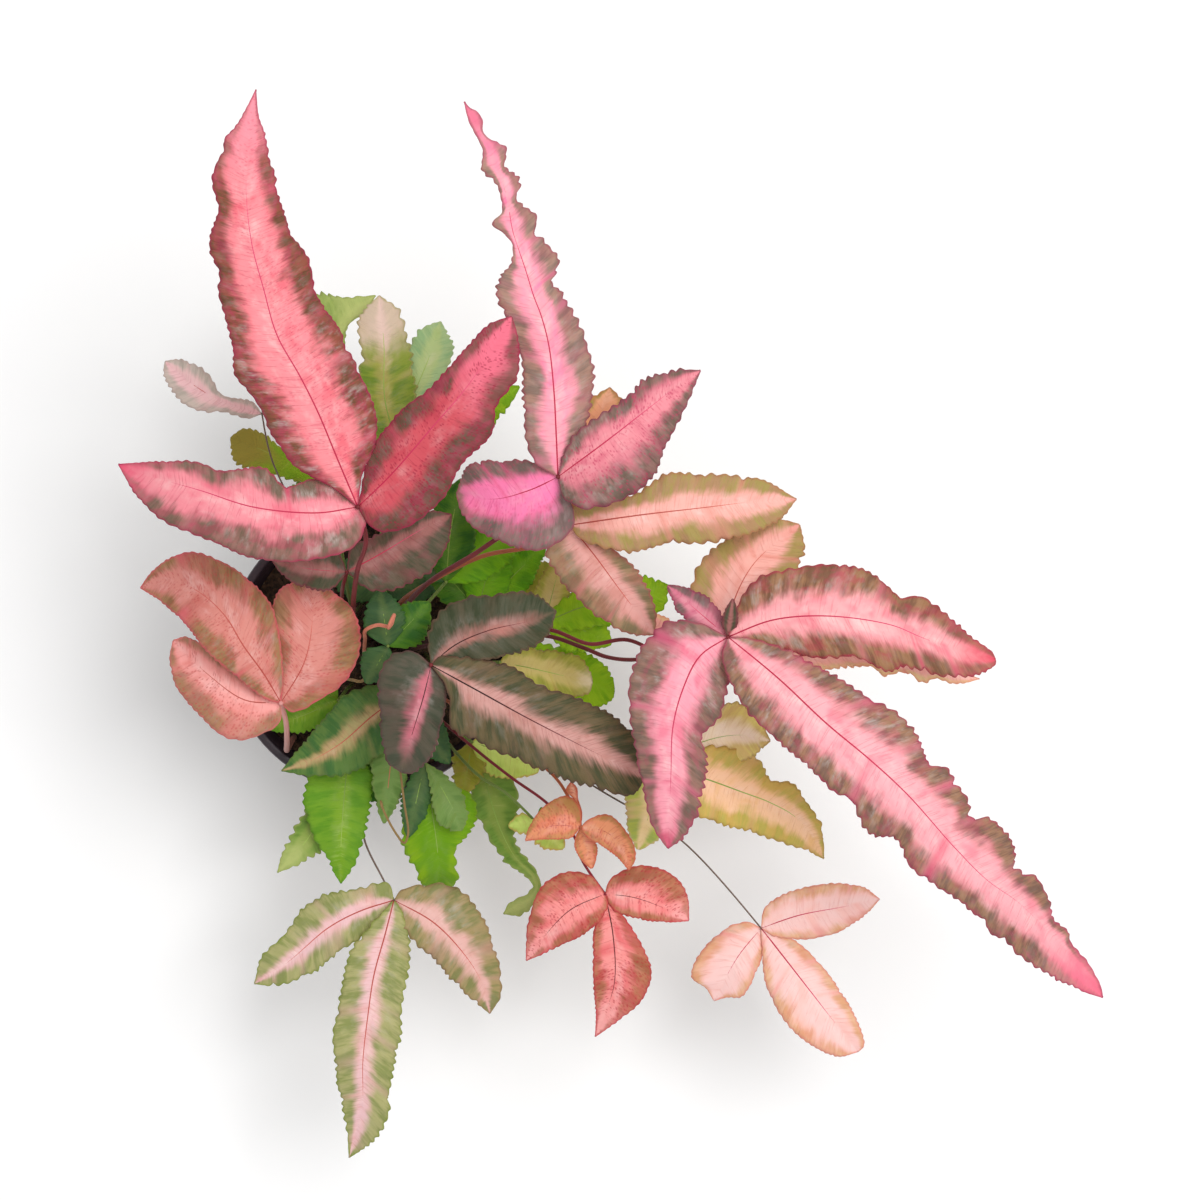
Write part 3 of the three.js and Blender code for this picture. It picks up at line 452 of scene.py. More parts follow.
@dataclass(frozen=True)
class LeafFinish:
    """The colours of a leaflet and how they meet.

    `heart` runs along the midrib, hotter in `blush` towards the margin and with a painted highlight inside,
    a pale glow as strong as `glow_highlight` says. `margin` lies outside it and turns to `shade` in its
    folds:
    painted shade of the ruffles over the margin's own darker tone. They meet at `border`, from 0 at the rib
    to 1 at the edge, as raggedly as `feather` says. `gleam_highlight` is how strong a painted silvery
    highlight gleams on the margin near the hub, `stain` how much of the rim's colour runs into it, `freckles`
    how strong the dots are, `notches` how far the heart and the rim run into each other at the notches, and
    `slant` how far the veins lean towards the tip. `tip` takes over within `tip_span` of the length, where
    `bare` says how much of the margin goes.
    """

    heart: Colour
    blush: Colour
    margin: Colour
    shade: Colour
    rim: Colour
    vein: Colour
    border: float = 0.5
    feather: float = 0.6
    patches: float = 0.7
    glow_highlight: float = 0.5
    gleam_highlight: float = 0.0
    stain: float = 0.1
    freckles: float = 0.0
    veins: float = 0.32
    notches: float = 0.8
    rim_width: float = 1.2
    slant: float = 0.4
    bare: float = 0.75
    tip: Union[Colour, None] = None
    tip_span: tuple[float, float] = (0.74, 0.98)

    # The first two are painted highlight colours: the silvery gleam on the margin and the pale glow in the
    # heart.
    GLEAM_HIGHLIGHT_COLOUR = (214, 200, 194)
    GLOW_HIGHLIGHT_COLOUR = (255, 226, 220)
    UNDERSIDE = (206, 190, 172)

    def parting(self, on: Veined) -> Socket:
        """Find the ragged line that the colours part along.

        Args:
            on: The leaflet's surface.

        Returns:
            The way from the rib to the margin, made ragged.
        """
        graph = on.graph
        ragged = graph.add(on.reach, graph.swing(on.fibres, 0.35 * self.feather))
        ragged = graph.add(ragged, graph.swing(on.folds, 0.9 * self.feather))
        return graph.add(ragged, graph.swing(on.drift, self.feather))

    def heart_colour(self, on: Veined, ragged: Socket) -> Socket:
        """Colour the middle, with a painted highlight glow and its fine veins.

        Args:
            on: The leaflet's surface.
            ragged: The way from the rib to the margin.

        Returns:
            The colour.
        """
        graph = on.graph
        near_border = graph.ramp(ragged, self.border - 0.5, self.border)
        flush = graph.times(near_border, graph.ramp(on.bloom, 0.36, 0.6))
        flush = graph.math("MAXIMUM", flush, graph.ramp(on.drift, 0.48, 0.66))
        flush = graph.math("MAXIMUM", graph.times(flush, self.patches), on.notch)
        colour = graph.blend(flush, linear(self.heart), linear(self.blush))
        # Painted highlight: a pale, nearly white glow in patches, strongest at the rib.
        painted_glow = graph.times(graph.ramp(on.bloom, 0.42, 0.8), graph.off(on.reach))
        colour = graph.blend(graph.times(painted_glow, self.glow_highlight), colour, linear(self.GLOW_HIGHLIGHT_COLOUR))
        return graph.blend(graph.times(on.line, self.veins), colour, linear(self.vein))

    def margin_colour(self, on: Veined, ragged: Socket) -> Socket:
        """Colour what lies outside the border, with painted shade in its folds and a painted silvery
        highlight.

        Args:
            on: The leaflet's surface.
            ragged: The way from the rib to the margin.

        Returns:
            The colour.
        """
        graph = on.graph
        # Painted shade over the margin's own darker tone: the margin turns to its shade colour along the
        # ruffled folds.
        fold_shading = graph.add(graph.times(on.folds, 0.7), graph.times(on.fibres, 0.3))
        colour = graph.blend(graph.ramp(fold_shading, 0.42, 0.6), linear(self.margin), linear(self.shade))
        stained = graph.times(graph.ramp(on.bloom, 0.46, 0.64), self.stain)
        colour = graph.blend(stained, colour, linear(self.rim))
        # Painted highlight: a pale silvery gleam streaked along the veins near the border, fading towards the
        # tip.
        painted_gleam = graph.times(graph.ramp(on.sheen, 0.44, 0.66), graph.ramp(on.fibres, 0.2, 0.75))
        far_out = graph.ramp(ragged, self.border + 0.2, self.border + 0.55)
        far_on = graph.times(graph.ramp(on.share, 0.3, 0.65), 0.75)
        painted_gleam = graph.times(graph.times(painted_gleam, graph.off(far_out)), graph.off(far_on))
        return graph.blend(graph.times(painted_gleam, self.gleam_highlight), colour, linear(self.GLEAM_HIGHLIGHT_COLOUR))

    def dress(self, name: str) -> bpy.types.Material:
        """Build the finish from patterns that follow the leaflet's own veins.

        Args:
            name: The finish's name.

        Returns:
            The material. It reads the attributes `grain`, `spot` and `trait` of the mesh.
        """
        graph = Graph(f"leaf_{name}")
        on = Veined(graph, self.slant)
        ragged = self.parting(on)
        outer = graph.ramp(ragged, self.border - 0.2, self.border + 0.2)
        outer = graph.times(outer, graph.off(graph.times(on.notch, self.notches)))
        heart = self.heart_colour(on, ragged)
        if self.tip:
            towards_tip = graph.ramp(graph.add(on.share, graph.swing(on.bloom, 0.2)), *self.tip_span)
            outer = graph.times(outer, graph.off(graph.times(towards_tip, self.bare)))
            heart = graph.blend(towards_tip, heart, linear(self.tip))
        colour = graph.blend(outer, heart, self.margin_colour(on, ragged))
        streak = graph.times(graph.times(on.notch, graph.ramp(on.reach, 0.35, 0.8)), self.notches * 0.75)
        colour = graph.blend(streak, colour, linear(self.rim))
        if self.freckles:
            colour = graph.blend(graph.times(on.dots(), self.freckles), colour, linear(self.vein))
        edge = graph.add(on.inset, graph.swing(on.sheen, 1.4))
        edge = graph.off(graph.ramp(edge, 0.0, self.rim_width))
        colour = graph.blend(graph.times(edge, 0.65), colour, linear(self.rim))
        colour = graph.blend(graph.times(on.under, 0.4), colour, linear(self.UNDERSIDE))
        height = graph.add(graph.times(on.fibres, 0.35), graph.times(graph.times(on.folds, on.reach), 1.2))
        graph.relief(graph.math("MULTIPLY_ADD", on.line, -0.15, height), 0.0008, 0.8)
        return graph.finish(colour, graph.math("MULTIPLY_ADD", on.fibres, 0.3, 0.4), 0.15)


@dataclass(frozen=True)
class StalkFinish:
    """The colours of a stipe or a midrib, from its foot to its top."""

    foot: Colour
    top: Colour
    streak: Colour

    def dress(self, name: str) -> bpy.types.Material:
        """Build a smooth, faintly streaked and glossy finish.

        Args:
            name: The finish's name.

        Returns:
            The material. It reads the attributes `grain` and `spot` of the mesh.
        """
        graph = Graph(f"stalk_{name}")
        along, across, own = graph.carried("grain")
        share, _, _ = graph.carried("spot")
        streaks = graph.cloud(graph.point(graph.times(along, 0.12), graph.times(across, 2.0), own), 1.0, 3.0)
        colour = graph.blend(graph.ramp(share, 0.1, 0.9), linear(self.foot), linear(self.top))
        colour = graph.blend(graph.ramp(streaks, 0.5, 0.75), colour, linear(self.streak))
        graph.relief(streaks, 0.0002, 0.4)
        return graph.finish(colour, graph.math("MULTIPLY_ADD", streaks, 0.25, 0.4), 0.25)


class Look(Enum):
    """The finishes of the leaflets, each with the colours of heart, blush, margin, shade, rim and vein."""

    ROSE = LeafFinish(
        (245, 144, 151), (238, 94, 110), (142, 80, 62), (108, 72, 50), (168, 50, 84), (184, 54, 88),
        border=0.58, gleam_highlight=0.55, stain=0.5, freckles=0.3, tip=(250, 150, 164),
    )
    RUBY = LeafFinish(
        (206, 84, 94), (180, 56, 72), (114, 74, 64), (94, 70, 54), (168, 40, 78), (154, 28, 58),
        feather=0.5, glow_highlight=0.25, gleam_highlight=0.12, stain=0.5, freckles=0.6,
        bare=0.15, tip=(236, 112, 134), tip_span=(0.5, 0.85),
    )
    BLUSH = LeafFinish(
        (242, 146, 156), (228, 104, 124), (150, 108, 98), (114, 94, 78), (184, 50, 90), (200, 62, 94),
        border=0.52, gleam_highlight=0.6, stain=0.35, tip=(230, 88, 118), tip_span=(0.82, 1.0),
    )
    UMBER = LeafFinish(
        (162, 108, 102), (142, 84, 80), (98, 84, 68), (74, 74, 54), (136, 56, 72), (140, 46, 66),
        border=0.33, feather=0.5, glow_highlight=0.15, gleam_highlight=0.15, stain=0.3, notches=0.4,
    )
    PETAL = LeafFinish(
        (250, 164, 177), (250, 124, 164), (168, 130, 114), (134, 110, 98), (166, 78, 98), (210, 84, 118),
        border=0.46, gleam_highlight=0.3, stain=0.3, tip=(240, 124, 150), tip_span=(0.8, 0.98),
    )
    RASPBERRY = LeafFinish(
        (234, 142, 152), (206, 90, 114), (140, 104, 96), (106, 88, 76), (146, 56, 84), (184, 48, 88),
        feather=0.5, glow_highlight=0.3, gleam_highlight=0.35, stain=0.3, freckles=0.55,
    )
    FUCHSIA = LeafFinish(
        (252, 132, 180), (240, 108, 150), (144, 114, 110), (112, 96, 90), (166, 78, 94), (210, 50, 108),
        border=0.54, feather=0.5, glow_highlight=0.3, gleam_highlight=0.3, stain=0.3, freckles=0.25,
        bare=0, tip=(156, 114, 110), tip_span=(0.84, 0.98),
    )
    APRICOT = LeafFinish(
        (246, 182, 170), (230, 150, 136), (172, 134, 96), (164, 146, 84), (178, 118, 84), (212, 118, 102),
        border=0.46, gleam_highlight=0.1,
    )
    RUST = LeafFinish(
        (220, 152, 114), (226, 164, 114), (174, 136, 80), (150, 140, 70), (172, 106, 70), (190, 108, 80),
        border=0.6, feather=0.5, glow_highlight=0.2, gleam_highlight=0.05, stain=0.3,
    )
    MAUVE = LeafFinish(
        (228, 168, 160), (206, 138, 126), (160, 130, 98), (126, 112, 82), (176, 92, 90), (194, 92, 94),
        border=0.48, glow_highlight=0.4, gleam_highlight=0.2, stain=0.3,
    )
    SHELL = LeafFinish(
        (248, 176, 182), (242, 128, 144), (158, 118, 92), (122, 92, 78), (182, 62, 98), (212, 96, 118),
        border=0.52, feather=0.55, gleam_highlight=0.5, stain=0.35, tip=(246, 118, 142), tip_span=(0.82, 0.98),
    )
    SATIN = LeafFinish(
        (247, 172, 174), (236, 122, 136), (156, 114, 82), (122, 86, 64), (178, 50, 80), (208, 88, 108),
        feather=0.55, gleam_highlight=0.4, stain=0.45, bare=0.3, tip=(226, 86, 104), tip_span=(0.8, 1.0),
    )
    ORCHID = LeafFinish(
        (247, 161, 176), (232, 116, 140), (146, 110, 96), (116, 94, 82), (176, 62, 98), (212, 88, 114),
        border=0.48, feather=0.5, gleam_highlight=0.5, stain=0.35,
        bare=0.15, tip=(206, 84, 112), tip_span=(0.86, 1.0),
    )
    PLUM = LeafFinish(
        (216, 134, 148), (198, 100, 124), (126, 94, 90), (104, 82, 80), (146, 50, 80), (178, 52, 92),
        border=0.4, feather=0.5, glow_highlight=0.2, gleam_highlight=0.3, stain=0.3,
    )
    PEACH = LeafFinish(
        (250, 190, 176), (244, 166, 158), (236, 196, 148), (230, 200, 148), (224, 140, 116), (214, 112, 104),
        border=0.62, gleam_highlight=0.2, stain=0.2,
    )
    GOLD = LeafFinish(
        (246, 200, 162), (234, 184, 124), (204, 172, 90), (186, 172, 84), (174, 138, 70), (208, 144, 100),
        glow_highlight=0.3, gleam_highlight=0.05,
    )
    CREAM = LeafFinish(
        (255, 238, 212), (250, 230, 190), (230, 216, 126), (220, 194, 124), (162, 124, 76), (222, 176, 136),
        border=0.42, feather=0.5, glow_highlight=0.6, gleam_highlight=0.2,
    )
    CITRON = LeafFinish(
        (216, 238, 124), (206, 232, 108), (204, 228, 112), (186, 214, 96), (204, 140, 84), (194, 176, 96),
        border=0.42, feather=0.5, glow_highlight=0.15,
    )
    OLIVE = LeafFinish(
        (146, 148, 42), (152, 138, 52), (158, 156, 52), (140, 142, 44), (160, 144, 76), (182, 154, 80),
        border=0.45, feather=0.7, glow_highlight=0.1, stain=0.2,
    )
    DUSK = LeafFinish(
        (204, 152, 144), (180, 122, 110), (104, 90, 62), (72, 74, 48), (96, 66, 56), (160, 80, 84),
        border=0.3, feather=0.55, glow_highlight=0.3, gleam_highlight=0.22, notches=0.15, slant=0.8,
    )
    DAMSON = LeafFinish(
        (200, 112, 124), (190, 88, 110), (86, 80, 66), (68, 72, 56), (108, 66, 68), (146, 56, 80),
        border=0.2, feather=0.4, glow_highlight=0.3, gleam_highlight=0.2, notches=0.1,
        bare=0, tip=(98, 88, 72), tip_span=(0.62, 0.96),
    )
    CORAL = LeafFinish(
        (216, 140, 129), (202, 114, 104), (160, 120, 82), (140, 98, 68), (222, 92, 108), (186, 76, 74),
        border=0.53, feather=0.85, glow_highlight=0.4, gleam_highlight=0.3, stain=0.2, freckles=0.5,
    )
    MINT = LeafFinish(
        (235, 192, 194), (228, 168, 164), (172, 168, 114), (138, 144, 86), (134, 148, 62), (206, 126, 114),
        border=0.3, feather=0.5, glow_highlight=0.6, gleam_highlight=0.35,
    )
    MOSS = LeafFinish(
        (230, 182, 174), (214, 158, 144), (164, 144, 100), (130, 130, 80), (150, 120, 84), (208, 114, 108),
        border=0.32, glow_highlight=0.4, gleam_highlight=0.45,
    )
    CRIMSON = LeafFinish(
        (244, 150, 146), (222, 96, 100), (184, 118, 88), (160, 96, 68), (200, 52, 74), (172, 34, 50),
        feather=0.85, gleam_highlight=0.1, stain=0.5, freckles=0.55, notches=0.3,
        bare=0.4, tip=(250, 172, 168), tip_span=(0.6, 1.0),
    )
    ORANGE = LeafFinish(
        (231, 152, 110), (222, 120, 94), (206, 142, 92), (178, 128, 74), (208, 90, 80), (172, 58, 56),
        border=0.6, feather=0.8, glow_highlight=0.4, gleam_highlight=0.15, stain=0.3, freckles=0.4, notches=0.3,
    )
    PEARL = LeafFinish(
        (249, 205, 200), (249, 188, 178), (230, 180, 144), (220, 162, 122), (228, 136, 128), (230, 150, 140),
        border=0.68, glow_highlight=0.4, gleam_highlight=0.4, stain=0.3, rim_width=1.1,
    )
    ASH = LeafFinish(
        (244, 196, 198), (238, 196, 192), (206, 190, 178), (184, 172, 160), (190, 168, 160), (194, 118, 124),
        gleam_highlight=0.6, stain=0.0,
    )
    BUFF = LeafFinish(
        (160, 152, 84), (156, 160, 66), (128, 146, 50), (102, 130, 42), (160, 150, 96), (188, 156, 112),
        border=0.22, feather=0.5, glow_highlight=0.2, gleam_highlight=0.15, tip=(220, 192, 178), tip_span=(0.5, 0.78),
    )
    STRAW = LeafFinish(
        (198, 182, 112), (198, 184, 100), (168, 168, 72), (150, 154, 62), (150, 126, 60), (186, 154, 92),
        glow_highlight=0.1, tip=(228, 214, 178), tip_span=(0.76, 0.98),
    )
    JADE = LeafFinish(
        (176, 196, 132), (168, 190, 116), (164, 190, 134), (140, 176, 122), (170, 188, 136), (150, 190, 126),
        border=0.4, glow_highlight=0.2, gleam_highlight=0.2, stain=0.0,
    )
    LEAF = LeafFinish(
        (120, 176, 22), (110, 170, 18), (112, 172, 16), (88, 150, 18), (96, 140, 24), (140, 184, 50),
        border=0.4, glow_highlight=0.05, stain=0.0,
    )
    FIELD = LeafFinish(
        (84, 128, 36), (72, 116, 32), (66, 112, 20), (44, 94, 26), (84, 118, 30), (120, 156, 58),
        border=0.35, glow_highlight=0.05, stain=0.0,
    )
    FERN = LeafFinish(
        (130, 152, 66), (120, 146, 54), (112, 146, 58), (92, 128, 46), (150, 160, 90), (164, 176, 100),
        border=0.38, glow_highlight=0.05, bare=0.8, tip=(176, 186, 112), tip_span=(0.55, 0.9),
    )
    DEEP = LeafFinish(
        (84, 108, 62), (74, 100, 54), (68, 98, 56), (56, 86, 52), (48, 92, 40), (80, 124, 62),
        border=0.3, glow_highlight=0.03, stain=0.0,
    )
    LIME = LeafFinish(
        (140, 188, 24), (132, 184, 16), (148, 192, 28), (120, 174, 16), (124, 160, 24), (168, 200, 60),
        border=0.4, glow_highlight=0.05, stain=0.0,
    )
    SPRING = LeafFinish(
        (124, 162, 40), (110, 154, 32), (112, 156, 38), (94, 144, 32), (96, 146, 28), (182, 208, 110),
        border=0.28, feather=0.5, glow_highlight=0.1, stain=0.0,
    )
    RIBBON = LeafFinish(
        (180, 166, 114), (188, 140, 96), (92, 124, 60), (64, 106, 52), (92, 114, 50), (180, 118, 90),
        border=0.26, feather=0.5, glow_highlight=0.2, gleam_highlight=0.05, notches=0.3,
    )
    SAGE = LeafFinish(
        (114, 144, 76), (110, 138, 64), (112, 142, 72), (96, 128, 60), (120, 140, 74), (140, 160, 96),
        border=0.4, glow_highlight=0.05, stain=0.0,
    )
    BLOOM = LeafFinish(
        (246, 166, 160), (226, 122, 114), (168, 124, 92), (160, 112, 88), (222, 120, 120), (186, 76, 74),
        border=0.54, glow_highlight=0.4, gleam_highlight=0.3, stain=0.2, freckles=0.5,
    )
    HONEY = LeafFinish(
        (238, 212, 158), (226, 196, 130), (178, 188, 78), (160, 176, 84), (214, 178, 140), (222, 176, 136),
        border=0.36, feather=0.4, glow_highlight=0.2, gleam_highlight=0.1, stain=0.0,
    )
    SABLE = LeafFinish(
        (178, 118, 108), (124, 86, 76), (76, 78, 58), (58, 66, 44), (110, 82, 66), (140, 60, 66),
        border=0.26, feather=0.5, glow_highlight=0.2, gleam_highlight=0.15, stain=0.15, notches=0.1,
        bare=0, tip=(88, 84, 62), tip_span=(0.72, 0.98),
    )
    MEADOW = LeafFinish(
        (106, 154, 12), (96, 148, 10), (128, 168, 20), (104, 152, 16), (120, 156, 30), (150, 186, 60),
        glow_highlight=0.05, stain=0.0,
    )
    HEDGE = LeafFinish(
        (130, 164, 28), (122, 160, 24), (126, 162, 28), (112, 152, 22), (146, 132, 60), (160, 180, 70),
        border=0.45, glow_highlight=0, gleam_highlight=0, bare=1, tip=(146, 132, 52), tip_span=(0.4, 0.75),
    )


class Stalk(Enum):
    """The finishes of the stipes and midribs."""

    WINE = StalkFinish(foot=(44, 27, 22), top=(118, 38, 44), streak=(62, 40, 33))
    RUSSET = StalkFinish(foot=(70, 42, 30), top=(176, 96, 62), streak=(120, 66, 44))
    ROSY = StalkFinish(foot=(120, 84, 74), top=(216, 150, 144), streak=(186, 116, 108))
    TWIG = StalkFinish(foot=(66, 54, 44), top=(112, 92, 82), streak=(84, 70, 60))
    CHERRY = StalkFinish(foot=(84, 34, 32), top=(140, 40, 54), streak=(96, 40, 36))
    SAP = StalkFinish(foot=(58, 52, 34), top=(112, 134, 62), streak=(84, 86, 46))
    CROZIER = StalkFinish(foot=(70, 50, 36), top=(206, 124, 100), streak=(150, 86, 64))
    BRONZE = StalkFinish(foot=(60, 48, 34), top=(140, 112, 66), streak=(100, 76, 48))
    CERISE = StalkFinish(foot=(186, 40, 72), top=(226, 84, 124), streak=(200, 60, 92))
    TERRACOTTA = StalkFinish(foot=(176, 76, 66), top=(216, 112, 98), streak=(196, 96, 84))
    VERDURE = StalkFinish(foot=(120, 150, 62), top=(166, 194, 96), streak=(140, 170, 74))


@dataclass(frozen=True)
class Toothing:
    """How a leaflet's margin is cut and waved, in millimetres."""

    pitch: float
    depth: float
    lobe: float
    ruffle: float
    crimp: float


class Edge(Enum):
    """The margins that the leaflets have."""

    TRIM = Toothing(pitch=3.4, depth=0.4, lobe=0.5, ruffle=1.4, crimp=0.5)
    FINE = Toothing(pitch=3.6, depth=0.75, lobe=0.9, ruffle=1.7, crimp=0.55)
    SOFT = Toothing(pitch=2.6, depth=0.3, lobe=0.4, ruffle=0.8, crimp=0.3)
    JAGGED = Toothing(pitch=4.6, depth=1.15, lobe=0.9, ruffle=1.1, crimp=0.4)


class Shape:
    """A piece's mesh while it is made. Its points carry where they lie on their leaflet or stalk.

    `grain` is the way along, the way across and the leaflet's own number, in millimetres. `spot` is the share
    of the length, the share of the way to the margin and the distance to the margin. `trait` has 1 on the
    underside and then how near a notch is.
    """

    LEAST_SIDE = 1e-3

    def __init__(self) -> None:
        """Start with nothing."""
        self.mesh = bmesh.new()
        self.materials: list[bpy.types.Material] = []

    @staticmethod
    def started() -> tuple[bmesh.types.BMesh, dict[str, bmesh.types.BMLayerItem]]:
        """Start a mesh.

        Returns:
            The mesh and the layers that its points carry.
        """
        part = bmesh.new()
        names = ("grain", "spot", "trait", "facing")
        return part, {name: part.verts.layers.float_vector.new(name) for name in names}

    def take(self, part: bmesh.types.BMesh, material: bpy.types.Material) -> None:
        """Join a finished part to the piece.

        Args:
            part: The part, which is used up.
            material: What it is finished in.
        """
        if material not in self.materials:
            self.materials.append(material)
        for face in part.faces:
            face.material_index = self.materials.index(material)
        facing = part.verts.layers.float_vector.get("facing")
        if facing:
            part.verts.layers.float_vector.remove(facing)
        carrier = bpy.data.meshes.new("carrier")
        part.to_mesh(carrier)
        part.free()
        self.mesh.from_mesh(carrier)
        bpy.data.meshes.remove(carrier)

    def sleeve(
        self,
        sections: Sequence[tuple[Vector, float]],
        material: bpy.types.Material,
        sides: int = 10,
        own: float = 0.0,
    ) -> None:
        """Add a round sleeve through sections, closed where its first and last radius are zero.

        Args:
            sections: The middles and radii, in millimetres.
            material: What it is finished in.
            sides: How many faces it has round it.
            own: The number that tells its pattern from others'.
        """
        part, layers = self.started()
        last = len(sections) - 1
        bmesh.ops.create_grid(part, x_segments=last, y_segments=sides, size=1)
        frames = self.frames([middle for middle, _ in sections])
        travelled = [0.0]
        for (one, _), (two, _) in zip(sections, sections[1:]):
            travelled.append(travelled[-1] + (two - one).length)
        for vert in part.verts:
            index = round((vert.co.x + 1) / 2 * last)
            turn = math.pi * vert.co.y
            middle, radius = sections[index]
            side, up = frames[index]
            vert[layers["grain"]] = Vector((travelled[index], turn, own))
            vert[layers["spot"]] = Vector((travelled[index] / travelled[-1], 0.0, 0.0))
            vert.co = MM * (middle + radius * (math.cos(turn) * side + math.sin(turn) * up))
        bmesh.ops.remove_doubles(part, verts=part.verts, dist=1e-7)
        bmesh.ops.recalc_face_normals(part, faces=part.faces)
        for face in part.faces:
            face.smooth = True
        self.take(part, material)

    @staticmethod
    def frames(middles: Sequence[Vector]) -> list[tuple[Vector, Vector]]:
        """Carry two crosswise directions along a route, without a twist.

        Args:
            middles: The route's points.

        Returns:
            The two directions at each point.
        """
        frames = []
        side = Vector((1.0, 0.0, 0.0))
        for index in range(len(middles)):
            ahead = middles[min(index + 1, len(middles) - 1)] - middles[max(index - 1, 0)]
            ahead.normalize()
            side = side - side.dot(ahead) * ahead
            if side.length < Shape.LEAST_SIDE:
                side = ahead.orthogonal()
            side.normalize()
            frames.append((side.copy(), ahead.cross(side)))
        return frames

    def piece(self, name: str) -> bpy.types.Object:
        """Make the object.

        Args:
            name: Its name.

        Returns:
            The object, at the origin, with its place in its mesh.
        """
        data = bpy.data.meshes.new(name)
        self.mesh.to_mesh(data)
        self.mesh.free()
        for material in self.materials:
            data.materials.append(material)
        thing = bpy.data.objects.new(name, data)
        bpy.context.scene.collection.objects.link(thing)
        return thing


class Wardrobe:
    """Every finish, each dressed once."""

    def __init__(self) -> None:
        """Start empty."""
        self.dressed: dict[Enum, bpy.types.Material] = {}

    def __getitem__(self, choice: Enum) -> bpy.types.Material:
        """Dress a choice when it is first asked for.

        Args:
            choice: The finish.

        Returns:
            Its material.
        """
        if choice not in self.dressed:
            self.dressed[choice] = choice.value.dress(choice.name.lower())
        return self.dressed[choice]


class Margin:
    """One margin of a leaflet: scallops with a notch between each two, small teeth on them, and ruffles."""

    NARROW = 5.0
    CRIMP_LENGTH = 6.5
    LEAST_PITCH = 0.55
    LEAST_TEETH = 16
    BITES = 97
    BITE = (0.3, 1.3)

    def __init__(self, leaflet: Leaflet, edge: Toothing, length: float, draw: random.Random) -> None:
        """Draw where the scallops and the teeth lie.

        Args:
            leaflet: The leaflet.
            edge: How it is cut.
            length: Its length in millimetres.
            draw: The seeded draw.
        """
        self.edge = edge
        self.length = length
        self.pitch = min(edge.pitch, max(self.LEAST_PITCH * edge.pitch, length / self.LEAST_TEETH))
        self.scallops = leaflet.SCALLOPS_PER_TOOTH * leaflet.teeth
        self.notch_width = leaflet.NOTCH_WIDTH
        self.phases = [draw.uniform(0, 2 * math.pi) for _ in range(5)]
        self.bites = [draw.uniform(*self.BITE) for _ in range(self.BITES)]

    def scallop(self, vein: float) -> float:
        """Count the scallops before a vein.

        Args:
            vein: The vein that ends there.

        Returns:
            Their number, with a fraction.
        """
        share = vein / self.length
        drift = 0.25 * math.sin(8 * share + self.phases[0]) + 0.1 * math.sin(23 * share + self.phases[1])
        return self.scallops * share + drift + self.phases[2] / math.tau

    def notch(self, vein: float) -> float:
        """Say how strongly the nearest notch shows on a vein.

        Args:
            vein: The vein that ends there.

        Returns:
            From 0 to 1.
        """
        turn = self.scallop(vein)
        nearest = round(turn)
        strength = self.bites[nearest % self.BITES] - self.BITE[0]
        return strength * math.exp(-(((turn - nearest) / self.notch_width) ** 2))

    def out(self, share: float, vein: float, reach: float) -> float:
        """Return how far the margin stands out from the plain outline.

        Args:
            share: The share of the leaflet's length.
            vein: The vein that ends there.
            reach: The plain outline's distance from the rib.

        Returns:
            The distance in millimetres.
        """
        scallop = self.scallop(vein)
        bite = self.bites[round(scallop) % self.BITES]
        cut = bite * (1 - abs(math.sin(math.pi * scallop)) ** 0.6)
        turn = vein / self.pitch + 0.5 * math.sin(vein / 7 + self.phases[3])
        part = turn - math.floor(turn)
        size = self.edge.depth * (self.pitch / self.edge.pitch)
        size *= self.bites[math.floor(turn) % self.BITES]
        tooth = size * (1.6 * math.sin(math.pi * part**1.7) - 0.7)
        room = min(1.0, reach / self.NARROW) * min(1.0, 8 * share, 10 * (1 - share))
        return room * (tooth + self.edge.lobe * (0.4 - 1.5 * cut))

    def lift(self, vein: float, out_share: float) -> float:
        """Say how high the ruffles raise a point.

        Args:
            vein: The vein that ends there.
            out_share: The share of the way from the rib to the margin.

        Returns:
            The height in millimetres.
        """
        ruffle = self.edge.ruffle * (abs(math.sin(math.pi * self.scallop(vein))) - 0.6) * out_share**3
        crimp = self.edge.crimp * math.sin(math.tau * vein / self.CRIMP_LENGTH + self.phases[4])
        return ruffle + crimp * out_share**2


